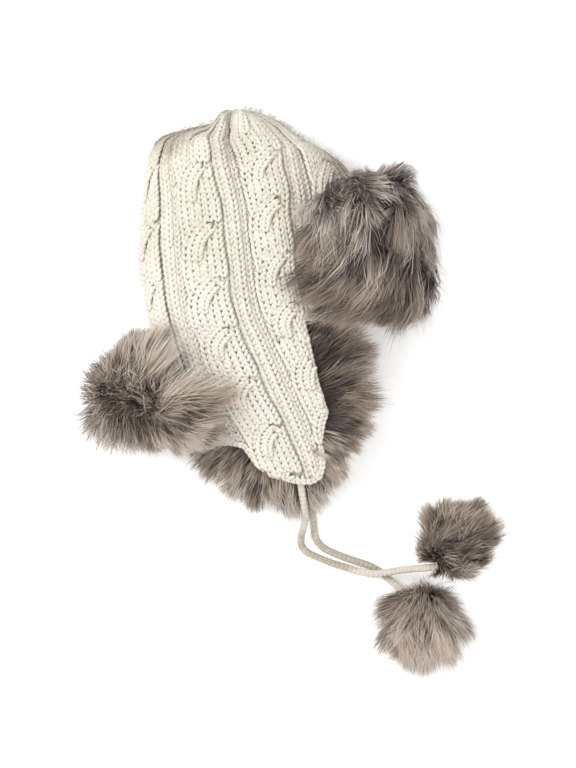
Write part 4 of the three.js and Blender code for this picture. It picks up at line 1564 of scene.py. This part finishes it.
def tube(line, side, out, wide, deep, sides):
    """A closed tube of oval section along a line."""
    turn = 2 * math.pi * np.arange(sides) / sides
    rings = line[:, None] + side[:, None] * (wide * np.cos(turn))[None, :, None]
    rings = rings + out[:, None] * (deep * np.sin(turn))[None, :, None]
    count = len(line)
    faces = []
    for i in range(count - 1):
        for k in range(sides):
            after = (k + 1) % sides
            a = i * sides
            faces.append((a + k, a + sides + k, a + sides + after, a + after))
    faces.append(tuple(range(sides)))
    faces.append(tuple((count - 1) * sides + k for k in range(sides))[::-1])
    return rings.reshape(-1, 3), faces, chequered(np.arange(sides)[None], np.arange(count)[:, None], CORE_V)


def ball(middle, radius):
    """A closed round pad with evenly laid faces."""
    columns = 24
    rows = 12
    points = [(0, 0, -1)]
    for j in range(1, rows):
        tilt = math.pi * j / rows
        for i in range(columns):
            turn = 2 * math.pi * i / columns
            reach = math.sin(tilt)
            points.append((reach * math.cos(turn), reach * math.sin(turn), -math.cos(tilt)))
    points.append((0, 0, 1))
    faces = []
    for i in range(columns):
        after = (i + 1) % columns
        faces.append((0, 1 + after, 1 + i))
        for j in range(rows - 2):
            a = 1 + j * columns
            faces.append((a + i, a + after, a + columns + after, a + columns + i))
        a = 1 + (rows - 2) * columns
        faces.append((a + i, a + after, len(points) - 1))
    points = np.array(points) * radius + np.array(middle)
    points[:, 2] = np.maximum(points[:, 2], LEAST_HEIGHT)
    index = np.arange(len(points))
    return points, faces, chequered(index, index // 2, PAD_V)


class TRAPPERHAT_OT_ties(bpy.types.Operator):
    """Adds the two knitted ties that come out of the flap tips"""

    bl_idname = "trapper_hat.ties"
    bl_label = "Ties"

    def execute(self, context):
        settings = context.scene.trapper_hat_ties
        material = knit_material("cream_cord", tuple(settings.colour), tuple(settings.shade))
        for name, route, seed in TIES:
            rng = np.random.default_rng(seed)
            piece, line, length = make_tie(name + "_knit", route, settings.width / MM, material, rng)
            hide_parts(name)
            piece["route"] = [float(value) for value in ((line + ORIGIN_SHIFT) * MM).ravel()]
            piece["length"] = length * MM
        return {"FINISHED"}


class TRAPPERHAT_OT_knit(bpy.types.Operator):
    """Knits the crown, the flaps and the nape, stitch by stitch"""

    bl_idname = "trapper_hat.knit"
    bl_label = "Cable knit"

    def execute(self, context):
        settings = context.scene.trapper_hat_knit
        rng = np.random.default_rng(KNIT_SEED)
        body = Body()
        material = knit_material("ivory_knit", tuple(settings.colour), tuple(settings.shade))
        ribs, cables = gather_stitches(body, rng)
        pieces = []
        for name, stitches in (("ribs", ribs), ("cables", cables)):
            near = near_side(stitches)
            for side, chosen, stations, sides in (("near", near, 6, 5), ("far", ~near, 5, 4)):
                legs = stitch_legs(body, stitches[chosen], stations, sides, settings.yarn / MM, rng)
                pieces.append(make_mesh(side + "_" + name, *legs, material, "ivory_knit"))
        fabric = join(
            backing(body), gutter_bars(body, rng), rim_edging(body, rng), fuzz(body, FUZZ_COUNT, rng)
        )
        pieces.append(make_mesh("knit_backing", *fabric, material, "ivory_knit"))
        for piece in pieces:
            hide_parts("crown_knit")
        return {"FINISHED"}


class TRAPPERHAT_OT_cuffs(bpy.types.Operator):
    """Adds the fur of the turned-up visor and of the neck cuff"""

    bl_idname = "trapper_hat.cuffs"
    bl_label = "Fur cuffs"

    def execute(self, context):
        settings = context.scene.trapper_hat_fur
        body = Body()
        material = fur_of(settings)
        for name, cuff, flow, ends in (
            ("visor_fur", VISOR, visor_flow, visor_ends),
            ("neck_fur", NECK, neck_flow, neck_ends),
        ):
            rng = np.random.default_rng(cuff["seed"])
            pelt = cuff_pelt(body, cuff, flow, ends, settings, rng)
            pad = cuff_backing(body, cuff, ends)
            piece = make_fur(name + "_pile", pad, strands(pelt, rng), material)
            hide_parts(name)
        return {"FINISHED"}


def cuff_pelt(body, cuff, flow, ends, settings, rng):
    """The strands of a cuff: roots within it, and the way that they flow over its face."""
    count = int(cuff["strands"] * settings.density)
    s = rng.uniform(0.01, 0.99, count)
    t = rng.uniform(0.0, 1.0, count)
    step = 0.02
    base = cuff_place(body, cuff, s, t, 0)
    face = cuff_place(body, cuff, s, t, 1)
    along = unit(cuff_place(body, cuff, s + step, t, 1) - cuff_place(body, cuff, s - step, t, 1))
    across = unit(cuff_place(body, cuff, s, t + step, 1) - cuff_place(body, cuff, s, t - step, 1))
    outs = unit(face - base)
    thick = np.linalg.norm(face - base, axis=-1)
    depth = 0.45 + 0.32 * rng.uniform(0, 1, count)
    roots = base + outs * (thick * depth)[:, None]
    pelt = flow(s, t, outs, along, across, rng)
    pelt.update(roots=roots, outs=outs, locks=cuff["locks"])
    pelt["radius"] = (80 + 300 * (1 - ramp(0.0, 0.25, s)) * (1 - ramp(0.2, 0.6, t)))[:, None, None]
    pelt["lengths"] = pelt["lengths"] + thick * (1 - depth) * 0.3
    pelt["widths"] = settings.width / MM * rng.uniform(*WIDTH_RANGE, count)
    first, last = ends(t)
    return kept(pelt, (roots[:, 2] > 0.5) & (s > first) & (s < last))


def kept(pelt, keep):
    """Only some of a pelt's strands."""
    return {
        name: value[keep] if isinstance(value, np.ndarray) and len(value) == len(keep) else value
        for name, value in pelt.items()
    }


def visor_flow(s, t, outs, along, across, rng):
    """Down over the cuff from its upper edge, and swept over the knit beside it lower down."""
    count = len(s)
    low = 1 - t
    edge = 1 - ramp(0.0, 0.16, s)
    top = ramp(0.86, 1.0, t)
    right = 0.6 * ramp(0.5, 0.8, s)
    aside = 0.1 + 0.4 * low * (1 - right) + 1.4 * edge * (1 - 0.55 * ramp(0.45, 0.85, t))
    flow = across * (1.2 * top + 0.5 * edge * low - 0.9)[:, None] + outs * (0.2 + 0.1 * top)[:, None]
    flow = flow - along * aside[:, None]
    shortest = 0.6 - 0.2 * ramp(0.3, 0.5, s)
    grown = shortest + (1 - shortest) * ramp(0.0, 0.5, t)
    # Tones: lower makes a darker low band; beside darkens the fur next to the knit at the visor's end, which
    # is painted shade; patches vary the tone.
    lower = ramp(0.02, 0.12, t) * (1 - ramp(0.46, 0.68, t))
    beside = (1 - ramp(0.22, 0.4, s)) * ramp(0.1, 0.25, t) * (1 - ramp(0.66, 0.82, t))
    patches = 0.22 * np.sin(8 * s + 5 * t + 1.0) * np.sin(10 * t - 5 * s)
    return {
        "flows": flow + rng.normal(0, 0.12, (count, 3)),
        "sweep": -along * (0.05 + 0.35 * low)[:, None] - across * (0.2 * (1 - top))[:, None],
        "lengths": rng.uniform(*CUFF_LENGTHS, count) * grown * (1 - 0.1 * edge - 0.72 * top),
        "tones": 1.08 - 0.98 * np.maximum(lower, beside) + patches,
        "curl": 0.38,
        "stand": 4.5,
        "hold": (0.62, 0.66),
    }


def visor_ends(t):
    """Where the visor's fur starts and stops along it: its upper corner leans back."""
    return 0.45 * np.maximum(0, t - 0.84), 1


def neck_flow(s, t, outs, along, across, rng):
    """Away on all sides from a dark parting in the middle of the near face."""
    count = len(s)
    from_s = s - np.clip(s, 0.5, 0.6)
    from_t = t - 0.5 + 0.06 * np.sin(9 * s)
    band = np.abs(from_t) * 2
    edge = ramp(0.82, 1.0, s + 1 - neck_ends(t)[1])
    left = 1 - ramp(0.4, 0.62, s)
    tuft = 1 - ramp(0.45, 0.75, s)
    away = along * (1.6 * from_s + 0.5 * edge)[:, None] + across * (2.6 * from_t)[:, None]
    flow = away + outs * (0.5 - 0.25 * edge)[:, None] + np.array((-1.0, 0.0, 0.0)) * left[:, None]
    patches = 0.12 * np.sin(11 * s + 6 * t) * np.sin(9 * t - 5 * s)
    lengths = rng.uniform(*CUFF_LENGTHS, count) * (0.25 + 0.75 * ramp(0.0, 0.5, t))
    lengths = lengths * (1 - 0.45 * ramp(0.65, 1.0, t))
    return {
        "flows": flow + rng.normal(0, 0.13, (count, 3)),
        "sweep": away * 0.25,
        "lengths": lengths * (1 + tuft * (2.3 * bell(t, 0.5, 0.13) - 0.4) + 0.15 * edge),
        "tones": 0.44 + 0.55 * ramp(0.1, 0.6, band) + 0.2 * edge + 0.42 * tuft + patches,
        "curl": 0.14,
        "stand": 6.0,
        "hold": (0.55, 0.6),
    }


def neck_ends(t):
    """Where the neck fur starts and stops along it: its upper corner lies back from the ear flap."""
    return 0, 1 - 0.3 * ramp(0.3, 1.0, t)


def fur_of(settings):
    """The fur's material, made by the first operator that needs it."""
    name = "long_brown_fur"
    colours = (settings.root, settings.middle, settings.tip, settings.light)
    return bpy.data.materials.get(name) or fur_material(name, *(tuple(colour) for colour in colours))


def near_tie_line():
    """The part of the near tie that lies on the fur, which no strand may cover."""
    return tie_centreline(NEAR_TIE, 2.0)[0][:-4]


def flap_height(body, x, y, near):
    """The height of the near or far half of the hat at a place, seen from above."""
    section = section_at(body.row_of(y))
    middle = (section[:, 1] + section[:, 2]) / 2
    reach = (section[:, 2] - section[:, 1]) / 2
    widest = WIDEST_SHARE * section[:, 3]
    across = np.minimum(0.97, np.abs(x - middle) / reach)
    power = NEAR_POWER if near else FAR_POWER
    rise = (1 - across**power) ** (1 / power)
    return widest + (section[:, 3] - widest) * rise if near else widest * (1 - rise)


class TRAPPERHAT_OT_flaps(bpy.types.Operator):
    """Adds the fur on the inside of the ear flaps"""

    bl_idname = "trapper_hat.flaps"
    bl_label = "Flap fur"

    def execute(self, context):
        settings = context.scene.trapper_hat_fur
        body = Body()
        material = fur_of(settings)
        for flap in FLAP_FURS:
            rng = np.random.default_rng(flap["seed"])
            pelt = flap_pelt(body, flap, settings, rng)
            pad = flap_pad(body, flap["near"], flap["thick"])
            piece = make_fur(flap["name"] + "_pile", pad, strands(pelt, rng), material)
            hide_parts(flap["name"])
        return {"FINISHED"}


def flap_pelt(body, flap, settings, rng):
    """The strands of a flap: they stream outwards from its middle and stand out past its edge."""
    near = flap["near"]
    count = int(flap["strands"] * settings.density)
    under = -1 if near else 1
    angle = rng.uniform(0, 360, count)
    share = np.sqrt(rng.uniform(0.16, 1.0, count))
    reach = np.interp(angle, FLAP_REACHES[:, 0], FLAP_REACHES[:, 1])
    away = np.stack((np.cos(np.radians(angle)), np.sin(np.radians(angle)), np.zeros(count)), axis=-1)
    radius = reach * FLAP_ROOTS * share
    x = FLAP_MIDDLE[0] + radius * away[:, 0]
    y = FLAP_MIDDLE[1] + radius * away[:, 1]
    seat = flap_height(body, x, y, near) + under * (WALL + 3)
    depth = rng.uniform(0, 1, count) ** 1.6
    z = seat + under * depth * flap["thick"] * (1 - 0.45 * share**4)
    tilt = 2 * depth - 1
    flows = away + UP * (under * 0.28 * tilt)[:, None] + np.array((0.1, -0.2, 0))
    longer = 1 + 0.3 * bell(angle, 55, 45)
    return {
        "roots": np.stack((x, y, np.maximum(z, 1.0)), axis=-1),
        "outs": unit(away * (0.25 + 0.9 * share)[:, None] + UP * (under * (0.2 + tilt))[:, None]),
        "flows": flows + rng.normal(0, 0.1, (count, 3)),
        "sweep": np.broadcast_to((0.05, -0.12, 0), (count, 3)),
        "lengths": reach * 0.34 * longer * rng.uniform(0.75, 1.1, count),
        "widths": settings.width / MM * rng.uniform(*WIDTH_RANGE, count),
        "tones": 0.34 + 0.46 * ramp(0.55, 1.0, share) + 0.1 * np.sin(np.radians(angle + 180)),
        "radius": 200.0,
        "locks": (70, 600),
        "curl": 0.1,
        "stand": 3.0,
        "hold": (0.55, 0.65),
        "keep_off": near_tie_line(),
    }


def flap_pad(body, near, thick):
    """The thin pad that the flap's fur grows from."""
    steps = 32
    rings = (0.02, 0.3, 0.6, 0.86, 1.0)
    angle = np.degrees(2 * math.pi * np.arange(steps) / steps)
    reach = np.interp(angle, FLAP_REACHES[:, 0], FLAP_REACHES[:, 1]) * FLAP_PAD
    layers = []
    under = -1 if near else 1
    for layer in (0, 1):
        grid = []
        for share in rings:
            x = FLAP_MIDDLE[0] + reach * share * np.cos(np.radians(angle))
            y = FLAP_MIDDLE[1] + reach * share * np.sin(np.radians(angle))
            depth = layer * (thick - 5) * (1 - 0.8 * share**6)
            z = flap_height(body, x, y, near) + under * (WALL + 3.5 + depth)
            grid.append(np.stack((x, y, np.maximum(z, LEAST_HEIGHT)), axis=-1))
        layers.append(grid if layer == 0 else grid[::-1])
    points = np.concatenate([ring for grid in layers for ring in grid])
    count = 2 * len(rings)
    faces = []
    for ring in range(count - 1):
        for k in range(steps):
            after = (k + 1) % steps
            a = ring * steps
            quad = (a + k, a + after, a + steps + after, a + steps + k)
            faces.append(quad[::-1] if near else quad)
    ends = (tuple(range(steps)), tuple((count - 1) * steps + k for k in range(steps)))
    faces.append(ends[0] if near else ends[0][::-1])
    faces.append(ends[1][::-1] if near else ends[1])
    index = np.arange(len(points))
    return points, faces, chequered(index, index // steps, PAD_V)


class TRAPPERHAT_OT_pompoms(bpy.types.Operator):
    """Adds the fur pompoms on the ends of the ties"""

    bl_idname = "trapper_hat.pompoms"
    bl_label = "Pompoms"

    def execute(self, context):
        settings = context.scene.trapper_hat_fur
        material = fur_of(settings)
        for pompom in POMPOMS:
            rng = np.random.default_rng(pompom["seed"])
            pad = ball(pompom["middle"], POMPOM_CORE)
            pelt = pompom_pelt(pompom, settings, rng)
            piece = make_fur(pompom["name"] + "_pile", pad, strands(pelt, rng), material)
            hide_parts(pompom["name"])
        return {"FINISHED"}


def pompom_pelt(pompom, settings, rng):
    """The strands of a pompom: out on all sides from its core, and streaming one way."""
    count = int(POMPOM_STRANDS * settings.density)
    middle = np.array(pompom["middle"], dtype=float)
    stream = np.array(pompom["stream"])
    seed = pompom["seed"]
    away = unit(rng.normal(size=(count, 3)))
    radius = rng.uniform(12, POMPOM_CORE, count)
    turn = np.arctan2(away[:, 1], away[:, 0])
    lobes = 1 + 0.1 * np.sin(3 * turn + seed) + 0.06 * np.sin(5 * turn + 2 * seed)
    return {
        "roots": middle + away * radius[:, None],
        "outs": away,
        "flows": away + stream * 0.8 + rng.normal(0, 0.12, (count, 3)),
        "sweep": np.broadcast_to(stream * 0.3, (count, 3)),
        "lengths": (pompom["reach"] - radius) * lobes * rng.uniform(0.82, 1.1, count),
        "widths": settings.width / MM * rng.uniform(*WIDTH_RANGE, count),
        "tones": pompom["tone"] + 0.4 * (1 - np.clip(away[:, 2], 0, 1)),
        "radius": 90.0,
        "locks": (60, 400),
        "curl": 0.16,
        "stand": 3.0,
        "hold": (0.45, 0.65),
        "keep_off": near_tie_line(),
    }


class TRAPPERHAT_PT_panel(bpy.types.Panel):
    """The hat's settings and the pieces in the order that they are made"""

    bl_idname = "TRAPPERHAT_PT_panel"
    bl_label = "Trapper Hat"
    bl_space_type = "VIEW_3D"
    bl_region_type = "UI"
    bl_category = "Trapper Hat"

    def draw(self, context):
        layout = self.layout
        scene = context.scene
        groups = (
            (scene.trapper_hat_stage, ("floor_colour", "sky", "key"), ("trapper_hat.stage",)),
            (scene.trapper_hat_ties, ("colour", "shade", "width"), ("trapper_hat.ties",)),
            (scene.trapper_hat_knit, ("colour", "shade", "yarn"), ("trapper_hat.knit",)),
            (
                scene.trapper_hat_fur,
                ("root", "middle", "tip", "light", "density", "width"),
                ("trapper_hat.cuffs", "trapper_hat.flaps", "trapper_hat.pompoms"),
            ),
        )
        for settings, names, operators in groups:
            box = layout.box()
            for name in names:
                box.prop(settings, name)
            for operator in operators:
                box.operator(operator)


CLASSES = (
    TrapperHatKnit,
    TrapperHatFur,
    TrapperHatTies,
    TrapperHatStage,
    TRAPPERHAT_OT_stage,
    TRAPPERHAT_OT_ties,
    TRAPPERHAT_OT_knit,
    TRAPPERHAT_OT_cuffs,
    TRAPPERHAT_OT_flaps,
    TRAPPERHAT_OT_pompoms,
    TRAPPERHAT_PT_panel,
)


def register():
    for cls in CLASSES:
        bpy.utils.register_class(cls)
    bpy.types.Scene.trapper_hat_knit = bpy.props.PointerProperty(type=TrapperHatKnit)
    bpy.types.Scene.trapper_hat_fur = bpy.props.PointerProperty(type=TrapperHatFur)
    bpy.types.Scene.trapper_hat_ties = bpy.props.PointerProperty(type=TrapperHatTies)
    bpy.types.Scene.trapper_hat_stage = bpy.props.PointerProperty(type=TrapperHatStage)


def unregister():
    for name in ("stage", "ties", "fur", "knit"):
        delattr(bpy.types.Scene, "trapper_hat_" + name)
    for cls in reversed(CLASSES):
        bpy.utils.unregister_class(cls)


def main():
    register()
    bpy.ops.trapper_hat.stage()
    bpy.ops.trapper_hat.ties()
    bpy.ops.trapper_hat.knit()
    bpy.ops.trapper_hat.cuffs()
    bpy.ops.trapper_hat.flaps()
    bpy.ops.trapper_hat.pompoms()


if __name__ == "__main__":
    main()
